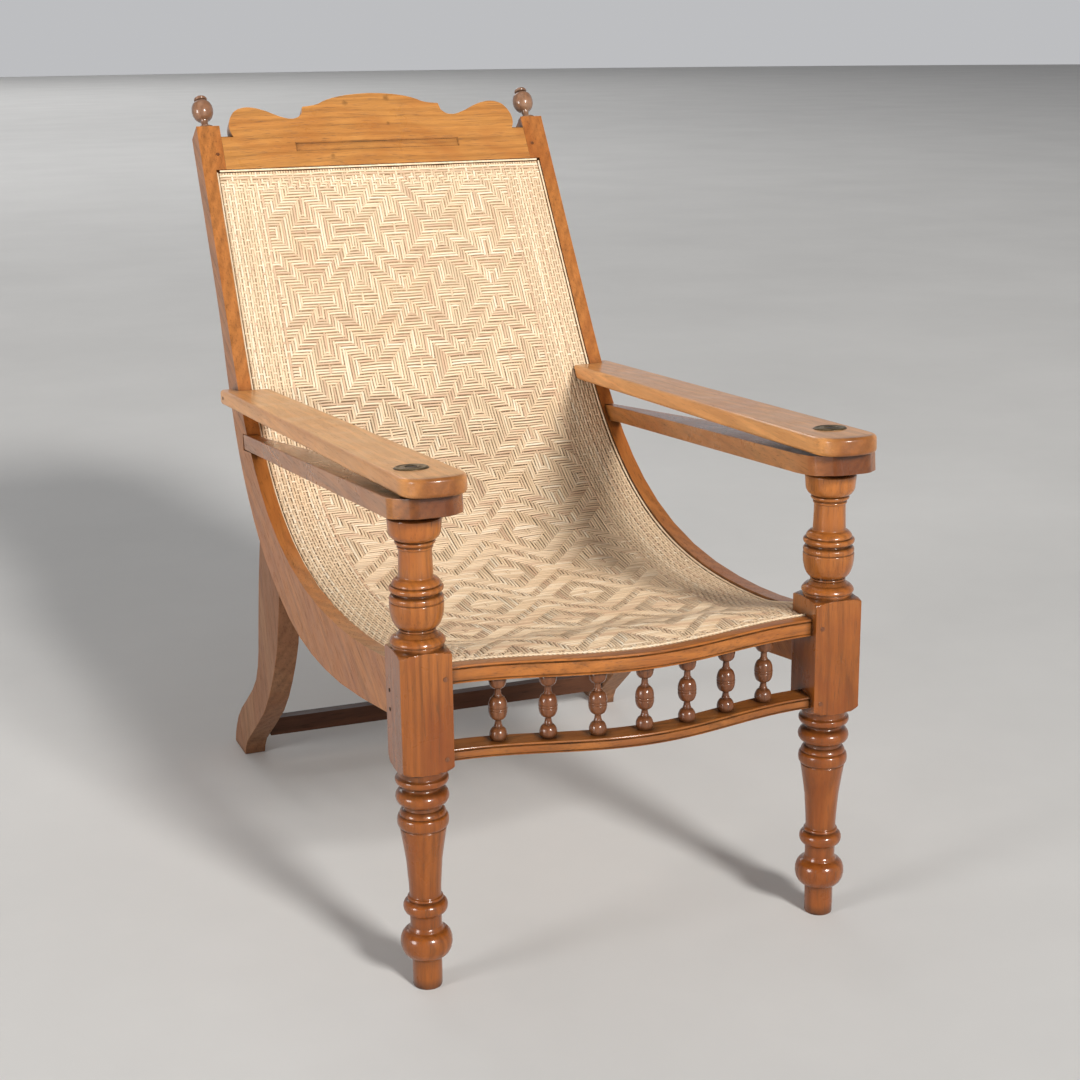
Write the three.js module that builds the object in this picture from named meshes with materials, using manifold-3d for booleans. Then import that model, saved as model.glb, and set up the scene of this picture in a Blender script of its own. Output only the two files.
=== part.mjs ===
// A reclining planter's chair in teak and woven cane, in millimetres, with Z up and its front towards -Y.
// Each front post carries a fixed arm and, under it, a leg rest that swings outwards on a long pivot bolt.
// "left" and "right" are as seen by someone who stands in front of the chair.
import * as THREE from "three";
import { mergeVertices } from "three/addons/utils/BufferGeometryUtils.js";
import Module from "manifold-3d";

const wasm = await Module();
wasm.setup();

// Clearances and overruns
const fit = 0.3;
const overrun = 6;
const runningGap = 0.35;

// Front posts: a square block between two turned lengths
const post = {
  spacing: 528,
  blockWidth: 62.5,
  blockDrop: 120,
  blockRise: 27,
  pommelRadius: 33,
  pommelHeight: 9,
  pommelSwellShare: 0.7,
  pommelCurveShare: 0.4,
  top: 583.5,
  turnRadius: 31.5,
  rimFlat: 22,
};

// Side frames: both lie in a plane that leans outwards to the rear and inwards towards the top
const frame = { outerX: 279.4, spread: 0.0289, lean: -0.0347, leanHeight: 352 };

// Side rails, drawn by the upper edge of the seat and the front edge of the back
const rail = {
  width: 36.5,
  depth: 80,
  frontHeight: 400,
  lowY: 335,
  lowHeight: 368,
  bendY: 874,
  bendHeight: 674,
  seatHandle: 100,
  sagHandle: 345,
  backHandle: 180,
  backLength: 343,
};
post.blockTop = rail.frontHeight + post.blockRise;
post.blockBottom = rail.frontHeight - post.blockDrop;
const recline = THREE.MathUtils.degToRad(33.7);
const railDepthShares = [
  [0, 0.86],
  [0.19, 0.93],
  [0.33, 1],
  [0.44, 0.92],
  [0.52, 0.87],
  [0.6, 0.81],
  [0.68, 0.68],
  [0.735, 0.57],
  [0.79, 0.505],
  [0.9, 0.5],
  [1, 0.5],
];

// The rebate that takes the cane along the rails, the crest and the seat rail
const rebate = { width: 16, depth: 8, frontDepth: 6 };

// Crest rail, measured from a line across the back a little below the tops of the side rails
const crest = { below: 15, reach: 253, bottom: 63, rise: 67, thickness: 22, lip: 17 };
const crestEarShares = [
  [0.921, -0.09],
  [0.938, 0.1],
  [0.932, 0.34],
  [0.895, 0.58],
  [0.842, 0.68],
  [0.78, 0.69],
  [0.7, 0.6],
  [0.62, 0.45],
  [0.55, 0.36],
  [0.497, 0.38],
  [0.462, 0.49],
];
const crestCentreShares = [
  [0.451, 0.67],
  [0.36, 0.72],
  [0.29, 0.84],
  [0.19, 0.94],
  [0.09, 0.985],
  [0, 1],
];
const crestPanel = { halfWidth: 135, top: 20, bottom: 34, depth: 2.5 };

// Finials on the rail tops
const finial = { radius: 17.5, height: 60, pinRadius: 5, pinLength: 22 };

// Front rails with a bow in plan, and the spindles between them
const bow = { endForward: 22, bulge: 38 };
const seatRail = { rise: 5, height: 22, depth: 46, strip: 17, tenonFoot: 4, tenonDrop: 8 };
seatRail.top = rail.frontHeight + seatRail.rise;
const lowerRail = { height: 15, depth: 32, tenonFoot: 3, tenonDrop: 3 };
const bead = { height: 2.6, stand: 1.2 };
const spindle = { count: 7, pitch: 57.5, height: 79, radius: 11.5, setBack: 17, pinRadius: 4, pinLength: 7 };
lowerRail.top = seatRail.top - seatRail.height - spindle.height;

// Rear legs and the stretcher between them
const leg = { width: 32, footFront: 813, reach: 240, height: 330, frontShare: 0.415, rearShare: 0.5 };
const legFrontShares = [
  [0.1, 0.773],
  [0.167, 0.652],
  [0.271, 0.521],
  [0.454, 0.355],
  [0.775, 0.173],
  [0.96, 0.07],
  [1, 0],
];
const legRearShares = [
  [1.275, 0],
  [1.262, 0.05],
  [1.2125, 0.118],
  [1.129, 0.191],
  [0.97, 0.276],
  [0.775, 0.382],
  [0.654, 0.473],
  [0.604, 0.57],
  [0.5875, 0.667],
  [0.57, 0.88],
];
const stretcher = { frontY: 780, thickness: 20, bottom: 38, height: 28, tenonShare: 0.6 };

// Tenons and pins
const tenon = { thickness: 12, length: 32, shoulder: 9 };
const crestTenon = { length: 20, shoulder: 8 };
const legTenon = { depth: 28, startShare: 0.445, endShare: 0.478 };
const peg = { radius: 2.6, length: 40, inset: 9, stand: 0.5 };
const nail = { radius: 2.4, length: 34, inset: 9.6, stand: 0.5 };

// Arms: fixed boards that slope down to the rear and are notched round the side rails
const arm = {
  slope: 0.066,
  thickness: 22,
  front: 78,
  noseRadius: 38,
  frontOuter: 31,
  frontInner: 48,
  rearY: 845,
  rearOuter: 53,
  rearInner: 17,
  rearCorner: 9,
  edge: 5,
};

// Leg rests: boards that taper to a tongue in the outer face of the side rail
const rest = {
  slope: 0.113,
  thickness: 23.5,
  front: 63,
  chamfer: 24,
  frontOuter: 41,
  frontInner: 48,
  tongueWidth: 16,
  tongueStart: 700,
  tongueEnd: 785,
  housingGap: 0.8,
  flush: 1,
};

// Pivot bolts, wedge washers and cover plates
const bolt = { radius: 5, sink: 46, headRadius: 6 };
const washer = { radius: 15 };
const plate = { radius: 20, hole: 7.2, thickness: 3.2, sunk: 1.6 };

// Woven cane: one sheet, with a binder strand along each edge
const cane = { thickness: 4, handle: 45, joinShare: 0.1 };
const binder = { width: 3.4 };

// How finely curves are cut
const facets = { post: 16, spindle: 8, finial: 12, pin: 8, washer: 16, bow: 12, arc: 3, leg: 12, cane: 6, bevel: 2 };

// Finishes
const teak = new THREE.MeshStandardMaterial({ color: 0xa5653a, roughness: 0.45 });
const darkTeak = new THREE.MeshStandardMaterial({ color: 0x6e3f25, roughness: 0.35 });
const armTeak = new THREE.MeshStandardMaterial({ color: 0xc08a5a, roughness: 0.4 });
const straw = new THREE.MeshStandardMaterial({ color: 0xd9c08c, roughness: 0.75 });
const brass = new THREE.MeshStandardMaterial({ color: 0x8a7550, roughness: 0.5, metalness: 0.9 });
const iron = new THREE.MeshStandardMaterial({ color: 0x3a332e, roughness: 0.6, metalness: 0.8 });

// Solids: joining and cutting
function solid(geometry) {
  const bare = geometry.clone();
  bare.deleteAttribute("normal");
  bare.deleteAttribute("uv");
  const merged = mergeVertices(bare, fit / 100);
  const mesh = new wasm.Mesh({
    numProp: 3,
    vertProperties: new Float32Array(merged.attributes.position.array),
    triVerts: new Uint32Array(merged.index.array),
  });
  return new wasm.Manifold(mesh);
}

function geometryOf(body) {
  const mesh = body.getMesh();
  const geometry = new THREE.BufferGeometry();
  geometry.setAttribute("position", new THREE.BufferAttribute(mesh.vertProperties, 3));
  geometry.setIndex(new THREE.BufferAttribute(mesh.triVerts, 1));
  return geometry;
}

function joined(...geometries) {
  return geometryOf(geometries.map(solid).reduce((sum, next) => sum.add(next)));
}

function cut(geometry, ...cutters) {
  return geometryOf(cutters.map(solid).reduce((left, next) => left.subtract(next), solid(geometry)));
}

function common(first, second) {
  return geometryOf(solid(first).intersect(solid(second)));
}

function mirrored(geometry) {
  const bare = geometry.clone().applyMatrix4(new THREE.Matrix4().makeScale(-1, 1, 1));
  bare.deleteAttribute("normal");
  bare.deleteAttribute("uv");
  const merged = mergeVertices(bare, fit / 100);
  const index = merged.index.array;
  for (let i = 0; i < index.length; i += 3) {
    [index[i + 1], index[i + 2]] = [index[i + 2], index[i + 1]];
  }
  return merged;
}

// Basic shapes
function box(low, high) {
  const size = high.map((value, axis) => value - low[axis]);
  const middle = high.map((value, axis) => (value + low[axis]) / 2);
  return new THREE.BoxGeometry(...size).translate(...middle);
}

function turned(profile, sides) {
  const points = profile.map(([radius, height]) => new THREE.Vector2(radius, height));
  return new THREE.LatheGeometry(points, sides).rotateX(Math.PI / 2);
}

function rod(radius, bottom, top, sides = facets.pin) {
  return turned([[0, bottom], [radius, bottom], [radius, top], [0, top]], sides);
}

// A turning is listed from its foot up as [form, height share, radius share, widest share].
// "bead" bulges between its ends, "belly" leaves its lower end level, and "flare" meets its upper end level.
function turning(rows, bottom, height, radius) {
  const points = [];
  let [r, z] = [0, bottom];
  for (const [form, heightShare, radiusShare, widestShare] of rows) {
    const [r1, z1] = [radius * radiusShare, bottom + height * heightShare];
    const steps = form === "line" ? 1 : form === "bead" ? facets.arc + 1 : facets.arc;
    for (let i = 1; i <= steps; i += 1) {
      const t = i / steps;
      const angle = (t * Math.PI) / 2;
      if (form === "line") {
        points.push([r1, z1]);
      } else if (form === "bead") {
        const swing = (t - 0.5) * Math.PI;
        const along = (Math.sin(swing) + 1) / 2;
        const swell = (radius * widestShare - (r + r1) / 2) * Math.cos(swing);
        points.push([r + (r1 - r) * along + swell, z + (z1 - z) * along]);
      } else if (form === "belly") {
        points.push([r + (r1 - r) * Math.sin(angle), z + (z1 - z) * (1 - Math.cos(angle))]);
      } else {
        points.push([r + (r1 - r) * (1 - Math.cos(angle)), z + (z1 - z) * Math.sin(angle)]);
      }
    }
    [r, z] = [r1, z1];
  }
  return points;
}

// Side frames: a shape in (y, z) is drawn out along x and leaned with the frame
const toSide = new THREE.Matrix4().makeBasis(
  new THREE.Vector3(0, 1, 0),
  new THREE.Vector3(0, 0, 1),
  new THREE.Vector3(1, 0, 0),
);
const frameLean = new THREE.Matrix4().set(
  1, frame.spread, frame.lean, -frame.lean * frame.leanHeight,
  0, 1, 0, 0,
  0, 0, 1, 0,
  0, 0, 0, 1,
);

function sidePlank(points, innerX, outerX) {
  const shape = new THREE.Shape(points.map(([y, z]) => new THREE.Vector2(y, z)));
  const geometry = new THREE.ExtrudeGeometry(shape, { depth: outerX - innerX, bevelEnabled: false });
  return geometry.applyMatrix4(toSide).translate(innerX, 0, 0).applyMatrix4(frameLean);
}

function outerFaceX(y, z) {
  return frame.outerX + frame.spread * y + frame.lean * (z - frame.leanHeight);
}

// The line of the side rail: seat, bend and back
const upBack = new THREE.Vector2(Math.sin(recline), Math.cos(recline));
const bendPoint = new THREE.Vector2(rail.bendY, rail.bendHeight);
const railTop = bendPoint.clone().addScaledVector(upBack, rail.backLength);
const lowPoint = new THREE.Vector2(rail.lowY, rail.lowHeight);
const blockRear = post.blockWidth / 2;
const frontReach = post.spacing / 2 - blockRear;
const railStart = new THREE.Vector2(blockRear, rail.frontHeight);

function railCurves(start) {
  const seatFall = (start.y - rail.lowHeight) / (rail.lowY - start.x);
  const leave = new THREE.Vector2(start.x + rail.seatHandle, start.y - 2 * seatFall * rail.seatHandle);
  const arrive = lowPoint.clone().sub(new THREE.Vector2(rail.seatHandle, 0));
  const depart = lowPoint.clone().add(new THREE.Vector2(rail.sagHandle, 0));
  const climb = bendPoint.clone().addScaledVector(upBack, -rail.backHandle);
  return [
    new THREE.CubicBezierCurve(start, leave, arrive, lowPoint),
    new THREE.CubicBezierCurve(lowPoint, depart, climb, bendPoint),
    new THREE.LineCurve(bendPoint, railTop),
  ];
}

const railPath = new THREE.CurvePath();
railCurves(railStart).forEach((curve) => railPath.add(curve));

// A point of the rail line at a share of its length, moved down or back into the rail by a depth
function railPoint(share, depth) {
  const point = railPath.getPointAt(share);
  const tangent = railPath.getTangentAt(share);
  return [point.x + tangent.y * depth, point.y - tangent.x * depth];
}

const bendShare = 1 - rail.backLength / railPath.getLength();
const railEdgeShares = [0, 0.05, 0.1, 0.15, 0.2, 0.26, 0.32, 0.38, 0.43, 0.475, 0.515, 0.55];
for (const share of [0.585, 0.615, 0.645, 0.675, 0.705, bendShare, 1]) {
  railEdgeShares.push(share);
}

function railEdge(depth) {
  return railEdgeShares.map((share) => railPoint(share, depth));
}

function railBack(extra) {
  const stations = railDepthShares.map(([share, part]) => railPoint(share, rail.depth * part + extra));
  const curve = new THREE.SplineCurve(stations.map(([y, z]) => new THREE.Vector2(y, z)));
  return curve.getPoints(3 * (stations.length - 1)).map((point) => [point.x, point.y]);
}

function depthShareAt(share) {
  const next = railDepthShares.findIndex(([place]) => place >= share);
  const [from, low] = railDepthShares[Math.max(next - 1, 0)];
  const [to, high] = railDepthShares[next];
  return to === from ? high : low + ((high - low) * (share - from)) / (to - from);
}

function railOutline(frontDepth, backExtra) {
  return [...railBack(backExtra), ...railEdge(frontDepth).reverse()];
}

const railInnerX = frame.outerX - rail.width;

// Frames of the back, the arms and the leg rests
const backOrigin = railTop.clone().addScaledVector(upBack, -crest.below);
const backMatrix = new THREE.Matrix4()
  .makeTranslation(0, backOrigin.x, backOrigin.y)
  .multiply(new THREE.Matrix4().makeRotationX(Math.PI / 2 - recline));
const pivotX = post.spacing / 2;
const armAngle = -Math.atan(arm.slope);
const restAngle = -Math.atan(rest.slope);
const restUnder = post.top + post.rimFlat * rest.slope + runningGap;
const restTop = restUnder + rest.thickness / Math.cos(restAngle);
const armUnder = restTop + arm.front * (rest.slope - arm.slope) + runningGap;
const armTop = armUnder + arm.thickness / Math.cos(armAngle);

function pivotMatrix(height, angle) {
  return new THREE.Matrix4()
    .makeTranslation(pivotX, 0, height)
    .multiply(new THREE.Matrix4().makeRotationX(angle));
}

const armMatrix = pivotMatrix(armUnder, armAngle);
const restMatrix = pivotMatrix(restUnder, restAngle);

// Front posts
const lowerTurningShares = [
  ["line", 0, 0.562],
  ["line", 0.14, 0.568],
  ["bead", 0.275, 0.597, 0.987],
  ["line", 0.343, 0.606],
  ["bead", 0.418, 0.597, 0.844],
  ["line", 0.47, 0.614],
  ["line", 0.585, 0.686],
  ["line", 0.655, 0.775],
  ["line", 0.735, 0.886],
  ["line", 0.743, 0.92],
  ["line", 0.79, 0.962],
  ["flare", 0.829, 0.72],
  ["bead", 0.907, 0.714, 1.01],
  ["bead", 0.957, 0.9, 1.003],
  ["line", 1.02, 0.9],
];
const upperTurningShares = [
  ["line", -0.03, 0.92],
  ["line", 0.006, 0.92],
  ["bead", 0.09, 0.86, 1],
  ["belly", 0.147, 0.63],
  ["line", 0.16, 0.65],
  ["belly", 0.35, 1],
  ["line", 0.378, 1],
  ["flare", 0.415, 0.84],
  ["bead", 0.505, 0.83, 0.99],
  ["belly", 0.56, 0.66],
  ["line", 0.69, 0.62],
  ["line", 0.765, 0.625],
  ["bead", 0.812, 0.66, 0.72],
  ["belly", 0.9, 0.965],
  ["line", 0.978, 1],
  ["flare", 1, post.rimFlat / post.turnRadius],
];

function closedTurning(rows, bottom, height, radius) {
  const points = turning(rows, bottom, height, radius);
  return [[0, points[0][1]], ...points, [0, points.at(-1)[1]]];
}

function blockGeometry() {
  const half = post.blockWidth / 2;
  const corner = half * Math.SQRT2 + fit;
  const square = box([-half, -half, post.blockBottom], [half, half, post.blockTop]);
  const rise = post.pommelHeight;
  const swell = post.pommelRadius + (corner - post.pommelRadius) * post.pommelSwellShare;
  const waist = turned(
    [
      [0, post.blockBottom],
      [post.pommelRadius, post.blockBottom],
      [swell, post.blockBottom + rise * post.pommelCurveShare],
      [corner, post.blockBottom + rise],
      [corner, post.blockTop - rise / 2],
      [swell, post.blockTop],
      [0, post.blockTop],
    ],
    facets.post,
  );
  return common(square, waist);
}

// Tenons are boxes that start a little inside the piece they belong to
function sideTenon(gap) {
  const middleX = outerFaceX(blockRear, rail.frontHeight) - rail.width / 2;
  const [, bottom] = railPoint(0, rail.depth * railDepthShares[0][1]);
  return box(
    [middleX - tenon.thickness / 2 - gap, blockRear - tenon.length - gap, bottom + tenon.shoulder - gap],
    [middleX + tenon.thickness / 2 + gap, blockRear + overrun, rail.frontHeight - tenon.shoulder - rebate.depth + gap],
  );
}

function frontTenon(board, gap) {
  const middleY = board.depth / 2 - bow.endForward;
  const bottom = board.top - board.height + board.tenonFoot;
  return box(
    [frontReach - overrun, middleY - tenon.thickness / 2 - gap, bottom - gap],
    [frontReach + tenon.length / 2 + gap, middleY + tenon.thickness / 2 + gap, board.top - board.tenonDrop + gap],
  );
}

const boltTop = armTop - restUnder + plate.thickness - plate.sunk - fit;
const headHeight = plate.thickness - 3 * fit;
const plateY = (armTop - restUnder) * rest.slope - arm.thickness * arm.slope;

// A hole's flats stand clear of the round bolt by the whole gap, so the bolt turns in it
function boltShape(gap) {
  const radius = gap ? (bolt.radius + gap) / Math.cos(Math.PI / facets.washer) : bolt.radius;
  return rod(radius, -bolt.sink - gap, boltTop - fit, facets.washer).applyMatrix4(restMatrix);
}

const pegPlaces = [
  { name: "upper", height: seatRail.top - seatRail.height / 2 },
  { name: "lower", height: lowerRail.top - lowerRail.height / 2 },
];
const pegX = frontReach + peg.inset;
const nailPlaces = [
  { name: "upper", height: rail.frontHeight - tenon.shoulder - rebate.depth - nail.inset },
  { name: "lower", height: rail.frontHeight - rail.depth * railDepthShares[0][1] + tenon.shoulder + nail.inset },
];
const nailY = blockRear - tenon.length / 2;

function pegShape(height, gap) {
  const front = -post.blockWidth / 2;
  const length = peg.length + gap;
  const shape = rod(peg.radius + gap, -length, gap ? overrun : peg.stand);
  return shape.rotateX(Math.PI / 2).translate(pegX, front, height);
}

function blockNailShape(height, gap) {
  const outer = pivotX + post.blockWidth / 2;
  const shape = rod(nail.radius + gap, -nail.length - gap, gap ? overrun : nail.stand);
  return shape.rotateY(Math.PI / 2).translate(outer, nailY, height);
}

function postGeometry() {
  const upperHeight = post.top - post.blockTop;
  const lower = turned(closedTurning(lowerTurningShares, 0, post.blockBottom, post.turnRadius), facets.post);
  const upper = turned(closedTurning(upperTurningShares, post.blockTop, upperHeight, post.turnRadius), facets.post);
  const whole = joined(lower, blockGeometry(), upper).translate(pivotX, 0, 0);
  return cut(
    whole,
    sideTenon(fit),
    frontTenon(seatRail, fit),
    frontTenon(lowerRail, fit),
    boltShape(fit),
    ...pegPlaces.map(({ height }) => pegShape(height, fit)),
    ...nailPlaces.map(({ height }) => blockNailShape(height, fit)),
  );
}

// The leg rest, its housing in the rail, and the bolt hole through it
const tongueHeight = restUnder - rest.slope * rest.tongueEnd;
const tongueOuter = outerFaceX(rest.tongueEnd, tongueHeight) - pivotX - rest.flush;

function restOutline(tongueEnd) {
  const cosine = Math.cos(restAngle);
  const tongueX = tongueOuter - rest.tongueWidth;
  return [
    [rest.frontOuter, -(rest.front - rest.chamfer)],
    [tongueOuter, tongueEnd / cosine],
    [tongueX, tongueEnd / cosine],
    [tongueX, rest.tongueStart / cosine],
    [-rest.frontInner, 0],
    [-rest.frontInner, -(rest.front - rest.chamfer)],
    [-(rest.frontInner - rest.chamfer), -rest.front],
    [rest.frontOuter - rest.chamfer, -rest.front],
  ];
}

function boardGeometry(points, thickness) {
  const shape = new THREE.Shape(points.map(([x, y]) => new THREE.Vector2(x, y)));
  return new THREE.ExtrudeGeometry(shape, { depth: thickness, bevelEnabled: false });
}

function restGeometry() {
  const board = boardGeometry(restOutline(rest.tongueEnd), rest.thickness).applyMatrix4(restMatrix);
  return cut(board, boltShape(fit));
}

function restHousing() {
  const cosine = Math.cos(restAngle);
  const inner = tongueOuter - rest.tongueWidth - rest.housingGap;
  return box(
    [inner, rest.tongueStart / cosine - overrun, -rest.housingGap],
    [tongueOuter + overrun, rest.tongueEnd / cosine + rest.housingGap, rest.thickness + rest.housingGap],
  ).applyMatrix4(restMatrix);
}

// Arms
function armOutline() {
  const rearY = arm.rearY / Math.cos(armAngle);
  const { front, noseRadius, rearCorner } = arm;
  const shape = new THREE.Shape();
  shape.moveTo(noseRadius - arm.frontInner, -front);
  shape.lineTo(arm.frontOuter - noseRadius, -front);
  shape.quadraticCurveTo(arm.frontOuter, -front, arm.frontOuter, noseRadius - front);
  shape.lineTo(arm.rearOuter, rearY - rearCorner);
  shape.quadraticCurveTo(arm.rearOuter, rearY, arm.rearOuter - rearCorner, rearY);
  shape.lineTo(-arm.rearInner, rearY);
  shape.lineTo(-arm.frontInner, noseRadius - front);
  shape.quadraticCurveTo(-arm.frontInner, -front, noseRadius - arm.frontInner, -front);
  return shape;
}

// Everything behind the front face of the rail and inboard of its outer face is taken out of the arm
function armNotch() {
  const front = railEdge(-fit);
  const far = rail.depth * 3;
  const [topY, topZ] = front.at(-1);
  const outline = [...front.reverse(), [rail.lowY, rail.lowHeight - far], [topY + far, rail.lowHeight - far]];
  outline.push([topY + far, topZ]);
  return sidePlank(outline, railInnerX - far, frame.outerX + fit);
}

function armNailShape(gap) {
  const height = armUnder + arm.thickness / 2 - arm.slope * (arm.rearY - arm.thickness);
  const y = arm.rearY - arm.thickness;
  const outer = pivotX + arm.rearOuter;
  const shape = rod(nail.radius + gap, -nail.length - gap, gap ? overrun : nail.stand);
  return shape.rotateY(Math.PI / 2).translate(outer - fit, y, height);
}

function plateSeat(gap) {
  const floor = arm.thickness - plate.sunk;
  const seat = rod(plate.radius + gap, floor, arm.thickness + overrun, facets.washer);
  return seat.translate(0, plateY, 0).applyMatrix4(armMatrix);
}

function armGeometry() {
  const edge = arm.edge;
  const board = new THREE.ExtrudeGeometry(armOutline(), {
    depth: arm.thickness - 2 * edge,
    bevelThickness: edge,
    bevelSize: edge,
    bevelOffset: -edge,
    bevelSegments: facets.bevel,
    curveSegments: facets.arc + 1,
  });
  board.translate(0, 0, edge).applyMatrix4(armMatrix);
  return cut(board, armNotch(), boltShape(fit), plateSeat(fit), armNailShape(fit));
}

// Side rails
function crestTenonShape(gap) {
  const innerX = outerFaceX(backOrigin.x, backOrigin.y) - rail.width;
  const middle = -crest.thickness / 2;
  return box(
    [innerX - overrun, crestTenon.shoulder - crest.bottom - gap, middle - tenon.thickness / 2 - gap],
    [
      innerX + crestTenon.length + gap,
      -crestTenon.shoulder * 2 + gap,
      middle + tenon.thickness / 2 + gap,
    ],
  ).applyMatrix4(backMatrix);
}

const finialDepth = (rail.depth * railDepthShares.at(-1)[1]) / 2;

function finialMatrix() {
  const x = outerFaceX(railTop.x, railTop.y) - rail.width / 2;
  return new THREE.Matrix4()
    .makeTranslation(x, 0, 0)
    .multiply(backMatrix)
    .multiply(new THREE.Matrix4().makeTranslation(0, crest.below, -finialDepth))
    .multiply(new THREE.Matrix4().makeRotationX(-Math.PI / 2));
}

function finialPinHole() {
  return rod(finial.pinRadius + fit, -finial.pinLength - fit, overrun).applyMatrix4(finialMatrix());
}

function crestPegShape(gap) {
  const x = outerFaceX(backOrigin.x, backOrigin.y) - rail.width + crestTenon.length / 2;
  const shape = rod(peg.radius + gap, -peg.length - gap, gap ? overrun : peg.stand);
  return shape.translate(x, -crest.bottom / 2 - crestTenon.shoulder / 2, 0).applyMatrix4(backMatrix);
}

// The rear leg's tenon stands square to the lower edge of the rail
function legTenonShape(gap) {
  const edge = (share) => new THREE.Vector2(...railPoint(share, rail.depth * depthShareAt(share)));
  const first = edge(legTenon.startShare);
  const last = edge(legTenon.endShare);
  const along = last.clone().sub(first).normalize();
  const into = new THREE.Vector2(-along.y, along.x);
  const start = first.addScaledVector(along, -gap);
  const end = last.addScaledVector(along, gap);
  const reach = [-overrun, legTenon.depth + gap];
  const corners = [
    start.clone().addScaledVector(into, reach[0]),
    end.clone().addScaledVector(into, reach[0]),
    end.clone().addScaledVector(into, reach[1]),
    start.clone().addScaledVector(into, reach[1]),
  ];
  const middleX = frame.outerX - leg.width / 2;
  const half = tenon.thickness / 2 + gap;
  return sidePlank(corners.map(({ x, y }) => [x, y]), middleX - half, middleX + half);
}

function railGeometry() {
  const stepX = railInnerX + rebate.width;
  const strip = sidePlank(railOutline(0, 0), stepX, frame.outerX);
  const ledge = sidePlank(railOutline(rebate.depth, 0), railInnerX, stepX + fit);
  const topX = outerFaceX(railTop.x, railTop.y);
  const corner = box(
    [topX - rail.width - overrun, -crest.bottom, -rebate.depth - overrun],
    [topX - rail.width + rebate.width + overrun / 2, crest.below, 0],
  ).applyMatrix4(backMatrix);
  const filledTop = common(corner, sidePlank(railOutline(0, 0), railInnerX, stepX + fit));
  const blockSpace = box([0, -rail.depth, 0], [post.spacing, blockRear, post.top]);
  return cut(
    joined(cut(joined(strip, ledge, filledTop), blockSpace), sideTenon(0)),
    restHousing(),
    legTenonShape(fit),
    crestTenonShape(fit),
    finialPinHole(),
    crestPegShape(fit),
    armNailShape(fit),
    ...nailPlaces.map(({ height }) => blockNailShape(height, fit)),
  );
}

// Rear legs
function legPoint([across, up]) {
  return [leg.footFront - leg.reach + leg.reach * across, leg.height * up];
}

function legOutline() {
  const front = [railPoint(leg.frontShare, rail.depth / 2), ...legFrontShares.map(legPoint)];
  const rear = [...legRearShares.map(legPoint), railPoint(leg.rearShare, rail.depth / 2)];
  const frontCurve = new THREE.SplineCurve(front.map(([y, z]) => new THREE.Vector2(y, z)));
  const rearCurve = new THREE.SplineCurve(rear.map(([y, z]) => new THREE.Vector2(y, z)));
  return [...frontCurve.getPoints(facets.leg), ...rearCurve.getPoints(facets.leg)].map(({ x, y }) => [x, y]);
}

// A board between the two sides stops short of their leaning inner faces
function betweenSides(geometry, width, gap) {
  const reach = post.spacing;
  const low = -reach;
  const high = reach * 3;
  const outside = box([frame.outerX - width - gap, low, low], [frame.outerX + reach, high, high]);
  const right = outside.applyMatrix4(frameLean);
  return cut(geometry, right, mirrored(right));
}

function stretcherTenon(gap) {
  const middleY = stretcher.frontY + stretcher.thickness / 2;
  const innerX = outerFaceX(stretcher.frontY, stretcher.bottom) - leg.width;
  const height = stretcher.height - tenon.shoulder;
  const bottom = stretcher.bottom + tenon.shoulder / 2;
  return box(
    [innerX - overrun, middleY - tenon.thickness / 2 - gap, bottom - gap],
    [innerX + leg.width * stretcher.tenonShare + gap, middleY + tenon.thickness / 2 + gap, bottom + height + gap],
  );
}

function stretcherGeometry() {
  const { frontY, thickness, bottom, height } = stretcher;
  const reach = frame.outerX;
  const beam = box([-reach, frontY, bottom], [reach, frontY + thickness, bottom + height]);
  const right = stretcherTenon(0);
  return joined(betweenSides(beam, leg.width, fit), right, mirrored(right));
}

function legGeometry() {
  const inner = frame.outerX - leg.width;
  const blank = sidePlank(legOutline(), inner, frame.outerX);
  const railSpace = sidePlank(railOutline(-overrun, fit), inner - overrun, frame.outerX + overrun);
  return cut(joined(cut(blank, railSpace), legTenonShape(0)), stretcherTenon(fit));
}

// Crest rail, drawn in the frame of the back
function crestOutline() {
  const reach = crest.reach;
  const place = ([across, up]) => new THREE.Vector2(across * reach, up * crest.rise);
  const ear = new THREE.SplineCurve(crestEarShares.map(place)).getPoints(crestEarShares.length * 3);
  const arch = new THREE.SplineCurve(crestCentreShares.map(place)).getPoints(crestCentreShares.length * 2);
  const half = [new THREE.Vector2(frame.outerX, crestEarShares[0][1] * crest.rise), ...ear, ...arch];
  const other = half.slice(0, -1).reverse().map(({ x, y }) => new THREE.Vector2(-x, y));
  return [...half, ...other];
}

function crestGeometry() {
  const outline = crestOutline();
  const outer = frame.outerX;
  const plank = (depth, bottom) => {
    const foot = [new THREE.Vector2(-outer, -bottom), new THREE.Vector2(outer, -bottom)];
    return new THREE.ExtrudeGeometry(new THREE.Shape([...foot, ...outline]), { depth, bevelEnabled: false });
  };
  const { halfWidth, top, bottom, depth } = crestPanel;
  const face = plank(crest.thickness, crest.bottom).translate(0, 0, -crest.thickness);
  const lipDepth = crest.thickness - rebate.depth;
  const lip = box([-outer, -crest.bottom - crest.lip, -crest.thickness], [outer, 0, lipDepth - crest.thickness]);
  const panel = box([-halfWidth, -bottom, -depth], [halfWidth, -top, overrun]);
  const board = cut(joined(face, lip), panel).applyMatrix4(backMatrix);
  const right = crestTenonShape(0);
  const pegHole = crestPegShape(fit);
  return cut(joined(betweenSides(board, rail.width, fit), right, mirrored(right)), pegHole, mirrored(pegHole));
}

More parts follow.
